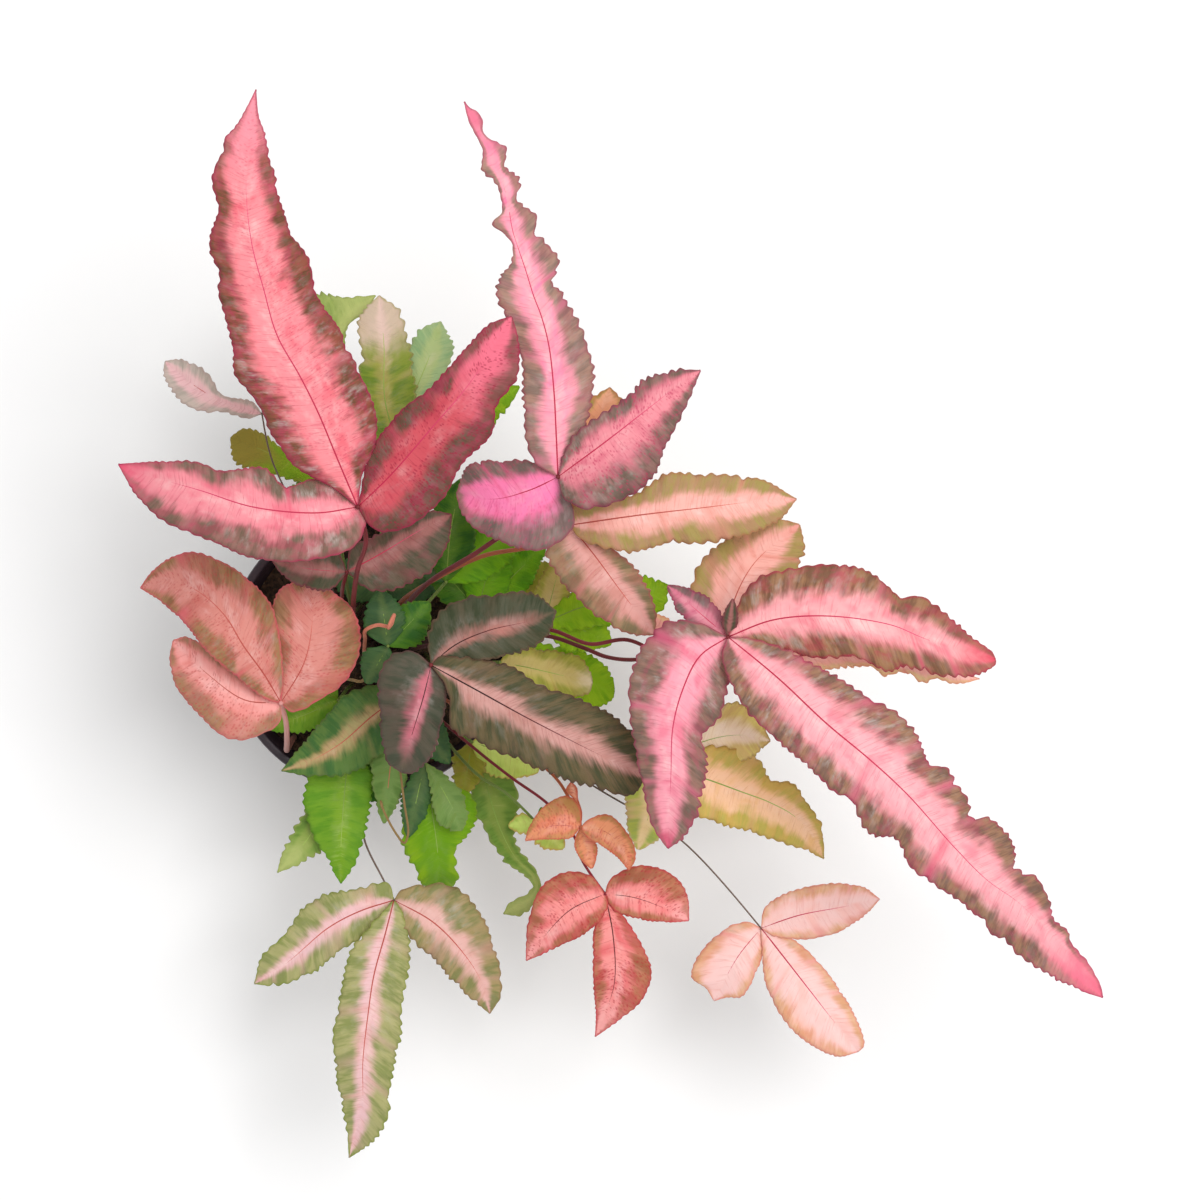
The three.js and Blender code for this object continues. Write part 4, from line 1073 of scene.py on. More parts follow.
@dataclass(frozen=True)
class Leaflet:
    """A leaflet on the plan, from its hub to its tip.

    Its outline is either a rib with a left and a right edge, as seen walking to the tip, or a width with a
    bend. `rise` is the height of its middle and of its tip over the hub.
    """

    tip: PlanPoint
    rise: tuple[float, float]
    teeth: int
    look: Look
    rib: tuple[PlanPoint, ...] = ()
    left: tuple[PlanPoint, ...] = ()
    right: tuple[PlanPoint, ...] = ()
    width: float = 0.0
    bend: float = 0.0

    FULLEST = 0.42
    BASE_POWER = 1.1
    END_POWER = 0.75
    SAG = 0.16
    WAVE_SHARE = 0.14
    WAVE_MOST = 1.8
    WAVE_TEETH = 3.2
    WAVE_SLANT = 1.7
    THICKNESS = 0.42
    LEAST_HALF = 0.3
    COLUMNS = 7
    STEPS_PER_TOOTH = 6
    SCALLOPS_PER_TOOTH = 0.75
    NOTCH_WIDTH = 0.09
    FURROW = 0.35
    FURROW_WIDTH = 1.1
    RIB_RADIUS = (0.46, 0.15)
    RIB_STEP = 2.5
    RIB_SPAN = (0.004, 0.975)
    RIB_SUNK = (0.1, 0.2)
    RIB_GROWN = (0.45, 120)
    END_GAP = 0.3
    CALM_BELOW = 6
    PATTERN_STEP = 3.7

    def height(self, share: float) -> float:
        """Return the rib's height over the hub, a parabola through the middle's and the tip's rise."""
        middle, tip = self.rise
        return share * (4 * middle * (1 - share) + tip * (2 * share - 1))

    def curves(self, hub: PlanPoint) -> tuple[Curve, Callable[[float, int], Vector]]:
        """Work out the outline on the plan.

        Args:
            hub: The hub on the plan.

        Returns:
            The rib, and the step from the rib to an edge for a share of the length and a side.
        """
        if self.rib:
            rib, left, right = (
                Curve([hub, *points, self.tip]) for points in (self.rib, self.left, self.right)
            )
            return rib, lambda share, side: (left if side < 0 else right).along(share) - rib.along(share)
        start, end = Vector((*hub, 0.0)), Vector((*self.tip, 0.0))
        ahead = (end - start).normalized()
        rib = Curve([start, start.lerp(end, 0.5) + self.bend * Vector((ahead.y, -ahead.x, 0.0)), end])
        power = math.log(0.5) / math.log(self.FULLEST)

        def step(share: float, side: int) -> Vector:
            """Step from the rib to the plain outline's edge.

            Args:
                share: The share of the rib's length.
                side: -1 on the left, 1 on the right.

            Returns:
                The step.
            """
            shape = self.BASE_POWER if share < self.FULLEST else self.END_POWER
            fullness = max(math.sin(math.pi * share**power), 0.0) ** shape
            heading = rib.heading(share)
            return Vector((heading.y, -heading.x, 0.0)) * (-side * self.width / 2 * fullness)

        return rib, step

    def grow(self, shape: Shape, hub: Stop, edge: Toothing, own: int, wardrobe: Wardrobe, rib: Enum) -> None:
        """Add the leaflet to a frond.

        Args:
            shape: The frond's shape.
            hub: The hub on the plan and the height that the leaflet starts at.
            edge: How its margin is cut.
            own: Its own number.
            wardrobe: The finishes.
            rib: The midrib's finish.
        """
        unit, slant = PLAN.unit(hub[2]), self.look.value.slant
        rib_line, step = self.curves(hub[:2])
        length = rib_line.length * unit
        margins = {side: Margin(self, edge, length, random.Random(2 * own + side)) for side in (-1, 1)}
        rows = max(4, round(length / margins[1].pitch)) * self.STEPS_PER_TOOTH
        first, last = self.END_GAP / length, 1 - self.END_GAP / length
        part, layers = shape.started()
        bmesh.ops.create_grid(part, x_segments=rows, y_segments=2 * self.COLUMNS, size=1)
        stations = []
        for row in range(rows + 1):
            share = first + (last - first) * row / rows
            sides = {}
            for side in (-1, 1):
                across = step(share, side)
                reach = across.length * unit
                turn = 2 * math.pi * (self.teeth / self.WAVE_TEETH) * share + side * self.WAVE_SLANT + hub[0]
                wave = min(self.WAVE_MOST, reach * self.WAVE_SHARE) * swell(share) * math.sin(turn)
                out = margins[side].out(share, share * length - slant * reach, reach)
                sides[side] = (across.normalized(), reach, out, wave)
            stations.append((share, rib_line.along(share), sides))
        for vert in part.verts:
            row = round((vert.co.x + 1) / 2 * rows)
            side = -1 if vert.co.y < 0 else 1
            out_share = abs(vert.co.y)
            share, middle, sides = stations[row]
            way, reach, out, wave = sides[side]
            half = max(reach, self.LEAST_HALF)
            across = half * out_share + out * out_share**5
            along = share * length
            vein = along - slant * across
            calm = min(1.0, half / self.CALM_BELOW) * swell(share)
            furrow = self.FURROW * math.exp(-((across / self.FURROW_WIDTH) ** 2))
            z = hub[2] + self.height(share) - self.SAG * half * out_share**1.6 + wave * out_share**1.4
            z += calm * (margins[side].lift(vein, out_share) - furrow)
            plan = middle + way * (across / unit)
            vert[layers["grain"]] = Vector((along, side * across, self.PATTERN_STEP * own))
            vert[layers["spot"]] = Vector((share, out_share, (half + out) * (1 - out_share)))
            vert[layers["trait"]] = Vector((0.0, margins[side].notch(vein), 0.0))
            vert.co = MM * PLAN.place(plan.x, plan.y, z)
        self.thicken(part, layers)
        shape.take(part, wardrobe[self.look])
        self.raise_rib(shape, hub, rib_line, length, wardrobe[rib], own)

    def thicken(self, part: bmesh.types.BMesh, layers: dict[str, bmesh.types.BMLayerItem]) -> None:
        """Give the sheet its thickness, with a sharp rim.

        Args:
            part: The sheet.
            layers: What its points carry.
        """
        part.normal_update()
        turned = sum(face.normal.z for face in part.faces) < 0
        if turned:
            bmesh.ops.reverse_faces(part, faces=part.faces)
            part.normal_update()
        for vert in part.verts:
            vert[layers["facing"]] = vert.normal
        top = list(part.verts)
        made = bmesh.ops.extrude_face_region(part, geom=list(part.faces), use_keep_orig=True)
        below = [item for item in made["geom"] if isinstance(item, bmesh.types.BMVert)]
        for verts, way in ((top, 0.5), (below, -0.5)):
            for vert in verts:
                vert.co += vert[layers["facing"]] * (way * self.THICKNESS * MM)
        for vert in below:
            vert[layers["trait"]] += Vector((1.0, 0.0, 0.0))
        bmesh.ops.recalc_face_normals(part, faces=part.faces)
        for face in part.faces:
            levels = {vert[layers["trait"]].x for vert in face.verts}
            face.smooth = len(levels) == 1

    def raise_rib(
        self, shape: Shape, hub: Stop, line: Curve, length: float, material: bpy.types.Material, own: int
    ) -> None:
        """Add the midrib, a fine tapering cord that shows on both faces.

        Args:
            shape: The frond's shape.
            hub: The hub on the plan and the height that the leaflet starts at.
            line: The rib on the plan.
            length: Its length in millimetres.
            material: The midrib's finish.
            own: The leaflet's number.
        """
        steps = max(8, round(length / self.RIB_STEP))
        thick, thin = self.RIB_RADIUS
        young, grown_length = self.RIB_GROWN
        thick *= min(1.0, young + length / grown_length)
        start, span = self.RIB_SPAN
        at_ends, in_middle = self.RIB_SUNK
        sections = []
        for index in range(steps + 1):
            share = start + span * index / steps
            point = line.along(share)
            sunk = at_ends + in_middle * swell(share)
            middle = PLAN.place(point.x, point.y, hub[2] + self.height(share) - sunk)
            sections.append((middle, thick + (thin - thick) * share))
        sections = [(sections[0][0], 0.0), *sections, (sections[-1][0], 0.0)]
        shape.sleeve(sections, material, sides=6, own=own)


# How far a stalk runs straight below and above the top of the soil, in millimetres
ROOTED = 11
UPRIGHT = 5


def route_of(root: Vector, stops: Sequence[Stop]) -> list[Vector]:
    """Return a stalk's route, straight up out of the soil and then through its plan points.

    Args:
        root: Where it enters the soil.
        stops: Its plan points with their heights.

    Returns:
        The route's points.
    """
    below = Vector((root.x, root.y, Soil.TOP - ROOTED))
    above = Vector((root.x, root.y, Soil.TOP + UPRIGHT))
    return [below, above, *(PLAN.place(*stop) for stop in stops)]


@dataclass(frozen=True)
class Frond:
    """A frond: a wiry stipe with a fan of leaflets at its top.

    `root` is how far from the pot's axis the stipe enters the soil, or its plan point there.
    """

    node: str
    leaflets: tuple[Leaflet, ...]
    hub: Stop
    radius: float
    root: Union[float, PlanPoint]
    stalk: Stalk = Stalk.SAP
    via: tuple[Stop, ...] = ()
    edge: Edge = Edge.JAGGED
    rib: Stalk = Stalk.VERDURE
    slot: str = "leaf_green"

    LAYER = 1.3
    HUB_REACH = 0.7
    STEP = 1.6
    TAPER = (1.12, 0.3)
    CAP = ((0.35, 0.9), (0.65, 0.6), (0.75, 0.0))

    def root_point(self) -> Vector:
        """Find where the stipe enters the soil.

        Returns:
            The point in millimetres.
        """
        if isinstance(self.root, tuple):
            return PLAN.place(*self.root, Soil.TOP)
        towards = PLAN.place(*self.hub)
        return Vector((towards.x, towards.y, 0.0)).normalized() * self.root + Vector((0, 0, Soil.TOP))

    def build(self, wardrobe: Wardrobe, number: int) -> bpy.types.Object:
        """Build the frond.

        Args:
            wardrobe: The finishes.
            number: The frond's number, which its leaflets' own numbers follow.

        Returns:
            The finished piece.
        """
        shape = Shape()
        x, y, z = self.hub
        half_stack = (len(self.leaflets) - 1) / 2 * self.LAYER + self.HUB_REACH
        ends = (x, y, z - half_stack), (x, y, z + half_stack)
        route = Curve(route_of(self.root_point(), [*self.via, *ends]))
        steps = round(route.length / self.STEP)
        thickest, loss = self.TAPER
        sections = []
        for index in range(steps + 1):
            share = index / steps
            sections.append((route.along(share), self.radius * (thickest - loss * share)))
        top, thick = sections[-1]
        cap = [(top + rise * thick * Vector((0, 0, 1)), wide * thick) for rise, wide in self.CAP]
        shape.sleeve([(sections[0][0], 0.0), *sections, *cap], wardrobe[self.stalk], own=number)
        from_the_top = sorted(self.leaflets, key=lambda leaflet: -leaflet.rise[0])
        for order, leaflet in enumerate(from_the_top):
            level = z + half_stack - self.HUB_REACH - order * self.LAYER
            leaflet.grow(shape, (x, y, level), self.edge.value, 10 * number + order, wardrobe, self.rib)
        return shape.piece(f"{self.node}_fine")


@dataclass(frozen=True)
class Crozier:
    """A young frond that is still rolled up: a thin stipe that ends in a flat coil."""

    node: str
    radius: float
    root: PlanPoint
    stalk: Stalk
    route: tuple[Stop, ...]
    turns: float
    coil: float
    towards: PlanPoint

    COIL_STEPS = 10
    CLOSING = 0.62
    SET = 1.5
    STEP = 0.8

    def build(self, wardrobe: Wardrobe, number: int) -> bpy.types.Object:
        """Build the rolled frond.

        Args:
            wardrobe: The finishes.
            number: Its number.

        Returns:
            The finished piece.
        """
        shape = Shape()
        points = route_of(PLAN.place(*self.root, Soil.TOP), self.route)
        end = points[-1]
        along = (PLAN.place(*self.towards, end.z) - end).normalized()
        up = Vector((0, 0, 1))
        centre = end + self.SET * along + self.coil * up
        for step in range(1, self.COIL_STEPS + 1):
            part = step / self.COIL_STEPS
            reach = self.coil * (1 - self.CLOSING * part)
            turn = 2 * math.pi * self.turns * part - math.pi / 2
            points.append(centre + reach * (math.cos(turn) * along + math.sin(turn) * up))
        curve = Curve(points)
        steps = round(curve.length / self.STEP)
        sections = [(curve.along(index / steps), self.radius) for index in range(steps + 1)]
        sections = [(sections[0][0], 0.0), *sections, (sections[-1][0], 0.0)]
        shape.sleeve(sections, wardrobe[self.stalk], own=number)
        return shape.piece(f"{self.node}_fine")


# The leaflets of each frond, set out on the plan from its hub to their tips
PINK_BACK_LEFT = (
    Leaflet((256, 89), (24, 2), 11, Look.ROSE,
            rib=((338, 460), (318, 412), (300, 376), (277, 335), (264, 290), (251, 239), (246, 177)),
            left=((332, 487), (310, 476), (292, 463), (281, 447), (270, 432), (264, 414), (254, 398),
                  (241, 383), (235, 374), (233, 350), (229, 330), (223, 308), (218, 290), (220, 276),
                  (218, 267), (212, 256), (210, 244), (211, 232), (216, 219), (219, 210), (217, 199),
                  (213, 187), (213, 176), (218, 161), (224, 150), (225, 139), (234, 129), (245, 111)),
            right=((363, 471), (372, 452), (377, 434), (376, 416), (371, 399), (364, 383), (358, 372),
                   (352, 355), (345, 348), (341, 333), (333, 320), (323, 306), (314, 290), (312, 275),
                   (307, 256), (298, 244), (291, 236), (288, 225), (282, 208), (277, 190), (275, 175),
                   (269, 161), (267, 146), (264, 132), (259, 118))),
    Leaflet((512, 316), (15, 20), 7, Look.RUBY,
            rib=((388, 478), (430, 430), (472, 380)),
            left=((362, 486), (372, 448), (398, 414), (434, 384), (452, 364), (470, 344), (486, 327),
                  (499, 320)),
            right=((375, 530), (406, 527), (442, 499), (463, 463), (491, 434), (497, 405), (517, 376),
                   (518, 338))),
    Leaflet((118, 464), (9, -18), 7, Look.BLUSH,
            rib=((317, 513), (253, 507), (202, 491), (151, 476)),
            left=((366, 522), (355, 545), (317, 559), (253, 558), (215, 542), (166, 522), (136, 494)),
            right=((345, 493), (317, 479), (286, 486), (263, 468), (222, 471), (194, 462), (136, 463))),
)
BROWN_BACK_LEFT = (
    Leaflet((452, 514), (3, 1), 4, Look.UMBER,
            rib=((382, 553), (424, 528)),
            left=((352, 548), (388, 530), (428, 511)),
            right=((370, 589), (401, 587), (431, 570), (449, 538))),
    Leaflet((272, 561), (2, -7), 3, Look.UMBER,
            rib=((310, 569),),
            left=((330, 589), (305, 587), (284, 576)),
            right=((335, 550), (305, 546), (284, 552))),
)
PINK_BACK_MIDDLE = (
    Leaflet((464, 101), (6, -14), 11, Look.PETAL,
            rib=((556, 430), (554, 392), (549, 346), (541, 315), (534, 297), (525, 268), (513, 232),
                 (507, 199), (496, 165), (484, 140), (472, 117)),
            left=((533, 460), (524, 407), (523, 366), (512, 333), (504, 312), (497, 290), (502, 275),
                  (511, 265), (512, 244), (502, 232), (493, 223), (502, 213), (501, 202), (498, 187),
                  (492, 178), (483, 170), (483, 150), (477, 138), (471, 126), (467, 115)),
            right=((580, 440), (593, 381), (585, 340), (572, 312), (561, 292), (551, 284), (558, 270),
                   (558, 258), (550, 249), (543, 239), (535, 233), (537, 218), (530, 211), (522, 206),
                   (516, 199), (520, 186), (516, 176), (507, 170), (504, 164), (507, 149), (499, 142),
                   (488, 138), (483, 131), (482, 119), (476, 111), (470, 108))),
    Leaflet((701, 370), (8, -6), 5, Look.RASPBERRY,
            rib=((600, 446), (640, 415), (675, 388)),
            left=((563, 458), (575, 436), (598, 417), (623, 401), (642, 382), (674, 371)),
            right=((566, 500), (590, 509), (623, 498), (650, 480), (668, 441), (687, 403))),
    Leaflet((456, 494), (-8, -22), 5, Look.FUCHSIA,
            rib=((530, 490), (495, 499)),
            left=((573, 510), (570, 532), (537, 550), (499, 540), (465, 519)),
            right=((554, 470), (538, 463), (504, 461), (470, 465))),
)
SALMON_BACK_RIGHT = (
    Leaflet((797, 499), (8, -13), 5, Look.APRICOT,
            rib=((640, 515), (700, 508), (752, 502)),
            left=((572, 508), (600, 500), (635, 495), (666, 475), (701, 475), (760, 480)),
            right=((580, 538), (602, 546), (626, 552), (668, 543), (722, 541), (779, 519))),
    Leaflet((655, 635), (-4, -15), 4, Look.MAUVE,
            rib=((595, 556), (626, 598)),
            left=((592, 530), (609, 546), (626, 560), (643, 580), (655, 612)),
            right=((547, 548), (561, 581), (584, 604), (610, 624), (636, 635))),
    Leaflet((610, 387), (1, -10), 3, Look.RUST,
            rib=((582, 470), (598, 420)),
            left=((558, 490), (567, 430), (590, 400)),
            right=((600, 490), (614, 440), (624, 404))),
)
PINK_RIGHT = (
    Leaflet((1103, 998), (15, -40), 11, Look.SHELL,
            rib=((779, 679), (827, 724), (869, 759), (907, 794), (955, 848), (987, 880), (1019, 903),
                 (1065, 950)),
            left=((747, 638), (789, 651), (824, 670), (853, 688), (872, 699), (891, 710), (912, 729),
                  (921, 742), (926, 759), (930, 766), (946, 768), (953, 777), (963, 793), (969, 806),
                  (969, 816), (990, 819), (1002, 830), (1011, 842), (1015, 857), (1014, 865), (1023, 873),
                  (1036, 878), (1045, 893), (1050, 902), (1053, 915), (1055, 921), (1067, 931), (1070, 942),
                  (1087, 962), (1094, 973), (1101, 987)),
            right=((722, 655), (735, 690), (760, 724), (792, 752), (822, 779), (836, 793), (844, 796),
                   (855, 808), (864, 826), (875, 835), (895, 838), (904, 850), (908, 862), (917, 874),
                   (935, 886), (960, 900), (969, 908), (977, 915), (985, 919), (989, 931), (997, 937),
                   (1005, 938), (1014, 949), (1027, 960), (1045, 972), (1060, 981), (1072, 985),
                   (1085, 992))),
    Leaflet((996, 660), (10, -13), 7, Look.SATIN,
            rib=((773, 620), (827, 616), (891, 625), (923, 638), (968, 653)),
            left=((738, 605), (757, 580), (799, 568), (837, 565), (854, 567), (873, 575), (885, 583),
                  (893, 592), (900, 598), (911, 598), (921, 597), (932, 604), (944, 613), (958, 625),
                  (970, 637), (982, 645), (992, 652)),
            right=((740, 640), (760, 643), (800, 654), (818, 657), (840, 656), (854, 656), (866, 662),
                   (890, 671), (897, 668), (904, 665), (913, 668), (935, 674), (950, 676), (963, 678),
                   (977, 674), (987, 670), (995, 665))),
    Leaflet((668, 849), (4, -16), 7, Look.ORCHID,
            rib=((700, 656), (683, 689), (673, 727), (671, 775), (669, 817)),
            left=((730, 660), (719, 716), (702, 737), (706, 760), (697, 813), (682, 838)),
            right=((700, 624), (668, 622), (645, 640), (629, 692), (635, 743), (644, 791), (655, 831))),
    Leaflet((667, 585), (3, 4), 3, Look.PLUM, width=34),
    Leaflet((733, 598), (6, 10), 2, Look.UMBER, width=15),
)
SALMON_RIGHT = (
    Leaflet((800, 524), (3, 4), 5, Look.APRICOT,
            rib=((728, 620), (752, 566)),
            left=((700, 650), (692, 600), (702, 560), (738, 534), (775, 519)),
            right=((748, 650), (775, 600), (797, 570), (804, 548))),
    Leaflet((980, 679), (6, -16), 5, Look.PEACH,
            rib=((800, 656), (880, 660), (940, 671)),
            left=((760, 650), (800, 640), (880, 645), (940, 662)),
            right=((760, 680), (800, 672), (853, 667), (873, 667), (883, 675), (895, 673), (911, 675),
                   (923, 682), (935, 678), (956, 684))),
    Leaflet((643, 612), (-3, -9), 3, Look.PEACH, width=36),
)
OLIVE_RIGHT = (
    Leaflet((824, 859), (5, -18), 5, Look.GOLD,
            rib=((700, 777), (742, 792), (771, 803), (799, 820)),
            left=((690, 748), (757, 757), (770, 780), (792, 784), (809, 806), (822, 830)),
            right=((670, 790), (700, 816), (742, 829), (784, 842))),
    Leaflet((771, 741), (5, 6), 3, Look.CREAM,
            rib=((705, 741), (740, 735)),
            left=((672, 736), (708, 708), (740, 704), (760, 722)),
            right=((690, 772), (725, 766), (752, 756))),
    Leaflet((638, 850), (-10, -30), 3, Look.HONEY, width=54, bend=4),
)
DARK_CENTRE = (
    Leaflet((646, 777), (5, -10), 7, Look.DUSK,
            rib=((480, 692), (535, 722), (590, 750)),
            left=((440, 657), (461, 658), (510, 665), (536, 684), (570, 696), (612, 716), (640, 742)),
            right=((448, 690), (453, 727), (480, 743), (520, 760), (548, 773), (592, 786), (632, 794))),
    Leaflet((557, 611), (4, 0), 4, Look.SABLE,
            rib=((455, 645), (490, 630), (530, 621)),
            left=((429, 634), (450, 604), (486, 595), (532, 594)),
            right=((455, 662), (507, 655), (545, 638))),
    Leaflet((402, 773), (2, -14), 4, Look.DAMSON,
            rib=((424, 695), (412, 735)),
            left=((446, 690), (441, 724), (430, 757), (413, 773)),
            right=((412, 650), (390, 658), (378, 682), (380, 716), (388, 762))),
)
CORAL_LEFT = (
    Leaflet((140, 588), (8, -16), 5, Look.CORAL,
            rib=((264, 674), (243, 645), (226, 617), (202, 594), (172, 580)),
            left=((268, 700), (233, 674), (207, 651), (189, 629), (162, 602)),
            right=((283, 680), (275, 615), (263, 594), (243, 575), (222, 562), (197, 552), (178, 554),
                   (152, 572))),
    Leaflet((312, 583), (7, 2), 5, Look.CORAL,
            rib=((304, 663), (312, 625)),
            left=((272, 678), (272, 614), (279, 590), (294, 582)),
            right=((292, 712), (319, 700), (341, 686), (355, 666), (360, 634), (352, 609), (333, 592))),
    Leaflet((173, 640), (-3, -19), 5, Look.BLOOM,
            rib=((245, 700), (210, 676)),
            left=((280, 722), (263, 733), (245, 740), (224, 737), (202, 717), (177, 687), (170, 660)),
            right=((262, 690), (238, 668), (207, 648), (187, 637))),
)
STRIPED_FRONT_LEFT = (
    Leaflet((254, 984), (3, -15), 5, Look.MINT,
            rib=((360, 911), (328, 928), (288, 962)),
            left=((386, 912), (372, 928), (345, 948), (312, 972), (276, 985)),
            right=((388, 884), (350, 889), (310, 903), (284, 936), (262, 958))),
    Leaflet((349, 1158), (6, -24), 7, Look.MINT,
            rib=((385, 935), (374, 975), (368, 1015), (363, 1060), (362, 1105)),
            left=((400, 908), (410, 950), (402, 998), (400, 1035), (391, 1077), (387, 1116), (373, 1141)),
            right=((372, 925), (353, 948), (341, 993), (334, 1032), (337, 1077), (346, 1122))),
    Leaflet((490, 1014), (4, -15), 5, Look.MOSS,
            rib=((433, 922), (461, 950), (481, 981)),
            left=((402, 890), (424, 886), (453, 886), (478, 911), (497, 957), (500, 995)),
            right=((400, 918), (416, 942), (439, 965), (467, 994))),
)
CRIMSON_FRONT = (
    Leaflet((526, 961), (3, -10), 4, Look.CRIMSON,
            rib=((570, 910), (543, 938)),
            left=((608, 906), (592, 928), (560, 946)),
            right=((592, 877), (568, 872), (543, 885), (528, 925))),
    Leaflet((689, 921), (3, -8), 3, Look.CRIMSON,
            rib=((632, 897), (664, 908)),
            left=((610, 880), (638, 866), (668, 872), (686, 892)),
            right=((614, 910), (640, 919), (668, 922))),
    Leaflet((595, 1037), (2, -18), 4, Look.CRIMSON,
            rib=((613, 935), (614, 985)),
            left=((620, 912), (640, 940), (651, 970), (645, 995), (622, 1018)),
            right=((598, 912), (593, 940), (594, 985), (596, 1015))),
)
ORANGE_FRONT = (
    Leaflet((525, 841), (1, -5), 3, Look.ORANGE,
            rib=((552, 826),),
            left=((570, 838), (548, 839)),
            right=((579, 806), (567, 796), (545, 806), (530, 826))),
    Leaflet((629, 871), (3, -3), 3, Look.ORANGE,
            rib=((606, 832), (624, 850)),
            left=((588, 820), (608, 815), (627, 833), (636, 856)),
            right=((586, 836), (604, 847), (618, 858))),
    Leaflet((592, 869), (-4, -8), 3, Look.ORANGE, width=22),
    Leaflet((571, 781), (0, 2), 3, Look.ORANGE,
            rib=((580, 812), (576, 797)),
            left=((579, 812), (574, 799), (566, 790)),
            right=((582, 812), (578, 798), (577, 788))),
)
PALE_FRONT_RIGHT = (
    Leaflet((880, 899), (4, -6), 3, Look.PEARL,
            rib=((800, 915), (842, 907)),
            left=((765, 908), (785, 894), (828, 884), (862, 887)),
            right=((775, 936), (823, 937), (862, 918))),
    Leaflet((714, 1001), (1, -11), 3, Look.PEARL,
            rib=((737, 958),),
            left=((764, 945), (757, 970), (742, 996), (727, 997)),
            right=((748, 922), (722, 931), (698, 957), (692, 977), (706, 988))),
    Leaflet((858, 1052), (3, -14), 4, Look.PEARL,
            rib=((790, 965), (825, 1010)),
            left=((780, 932), (812, 955), (836, 985), (854, 1015), (864, 1045)),
            right=((762, 950), (768, 990), (796, 1033), (836, 1056))),
)
GREY_FAR_LEFT = (
    Leaflet((165, 361), (5, -8), 3, Look.ASH,
            rib=((228, 404), (195, 386)),
            left=((248, 418), (222, 411), (198, 411), (176, 395), (164, 374)),
            right=((252, 402), (222, 395), (207, 374), (188, 362), (176, 360))),
    Leaflet((300, 380), (2, 0), 3, Look.ASH, width=26),
)
GREEN_BACK = (
    Leaflet((379, 295), (3, -2), 5, Look.BUFF,
            rib=((385, 400), (384, 345)),
            left=((375, 440), (358, 390), (362, 350), (357, 322)),
            right=((412, 430), (415, 385), (407, 340), (396, 308))),
    Leaflet((441, 321), (2, -3), 4, Look.JADE,
            rib=((412, 400), (430, 355)),
            left=((397, 410), (404, 365), (420, 330)),
            right=((420, 430), (438, 388), (453, 350))),
    Leaflet((520, 386), (2, -4), 4, Look.LIME, width=44, bend=-6),
)
GREEN_FAR_LEFT = (
    Leaflet((230, 438), (2, -4), 3, Look.HEDGE,
            rib=((300, 470), (262, 450)),
            left=((308, 486), (272, 474), (236, 462)),
            right=((318, 470), (286, 452), (258, 432), (240, 430))),
    Leaflet((376, 295), (4, 0), 5, Look.FERN,
            rib=((322, 420), (334, 345)),
            left=((305, 450), (295, 360), (314, 296), (346, 298)),
            right=((350, 440), (345, 370), (348, 326), (366, 312))),
    Leaflet((260, 520), (0, -8), 3, Look.FERN, width=40),
)
GREEN_MIDDLE_BACK = (
    Leaflet((462, 478), (4, 0), 4, Look.FIELD, width=50, bend=3),
    Leaflet((536, 520), (-2, -8), 4, Look.LEAF, width=52, bend=5),
    Leaflet((402, 524), (-1, -8), 3, Look.DEEP, width=38),
)
GREEN_MIDDLE = (
    Leaflet((492, 524), (3, -2), 4, Look.LEAF, width=50, bend=-3),
    Leaflet((562, 566), (0, -7), 4, Look.OLIVE, width=48),
    Leaflet((546, 544), (1, -3), 3, Look.LEAF, width=40),
    Leaflet((426, 552), (0, -6), 3, Look.FIELD, width=42),
)
GREEN_CENTRE_BACK = (
    Leaflet((326, 566), (2, -2), 3, Look.DEEP, width=42),
    Leaflet((388, 528), (3, 0), 3, Look.DEEP, width=44),
    Leaflet((446, 566), (2, -1), 3, Look.DEEP, width=46),
)
GREEN_CROWN = (
    Leaflet((380, 589), (3, -1), 3, Look.DEEP, width=41),
    Leaflet((430, 602), (2, -2), 3, Look.FIELD, width=42),
    Leaflet((366, 684), (-2, -8), 3, Look.DEEP, width=34),
)
GREEN_RIGHT = (
    Leaflet((612, 644), (2, -4), 3, Look.LIME, width=48, bend=4),
    Leaflet((669, 585), (3, -4), 5, Look.LIME,
            rib=((590, 605), (635, 602)),
            left=((556, 606), (590, 585), (625, 574), (650, 577)),
            right=((560, 630), (600, 626), (640, 622), (664, 606))),
    Leaflet((562, 556), (3, 2), 3, Look.STRAW, width=34),
)
OLIVE_MIDDLE = (
    Leaflet((593, 682), (5, 2), 4, Look.STRAW,
            rib=((530, 668), (565, 676)),
            left=((510, 648), (545, 650), (576, 656), (589, 668)),
            right=((512, 676), (545, 690), (574, 697), (589, 692))),
    Leaflet((615, 690), (-4, -9), 4, Look.LIME,
            rib=((540, 668), (584, 679)),
            left=((520, 646), (560, 646), (592, 657), (611, 674)),
            right=((520, 690), (560, 704), (594, 707), (612, 700))),
    Leaflet((560, 742), (-3, -8), 3, Look.GOLD, width=40),
)
GREEN_LEFT = (
    Leaflet((265, 728), (1, -3), 3, Look.SPRING, width=32, bend=2),
    Leaflet((285, 668), (0, -5), 3, Look.SPRING, width=40),
)
STRIPED_LEFT = (
    Leaflet((281, 771), (3, -8), 5, Look.RIBBON,
            rib=((370, 718), (340, 744), (308, 762)),
            left=((400, 722), (384, 752), (352, 772), (316, 776)),
            right=((380, 686), (348, 694), (322, 722), (300, 748))),
    Leaflet((384, 824), (-2, -10), 4, Look.SAGE, width=40),
    Leaflet((450, 764), (-1, -6), 3, Look.DEEP, width=42),
)
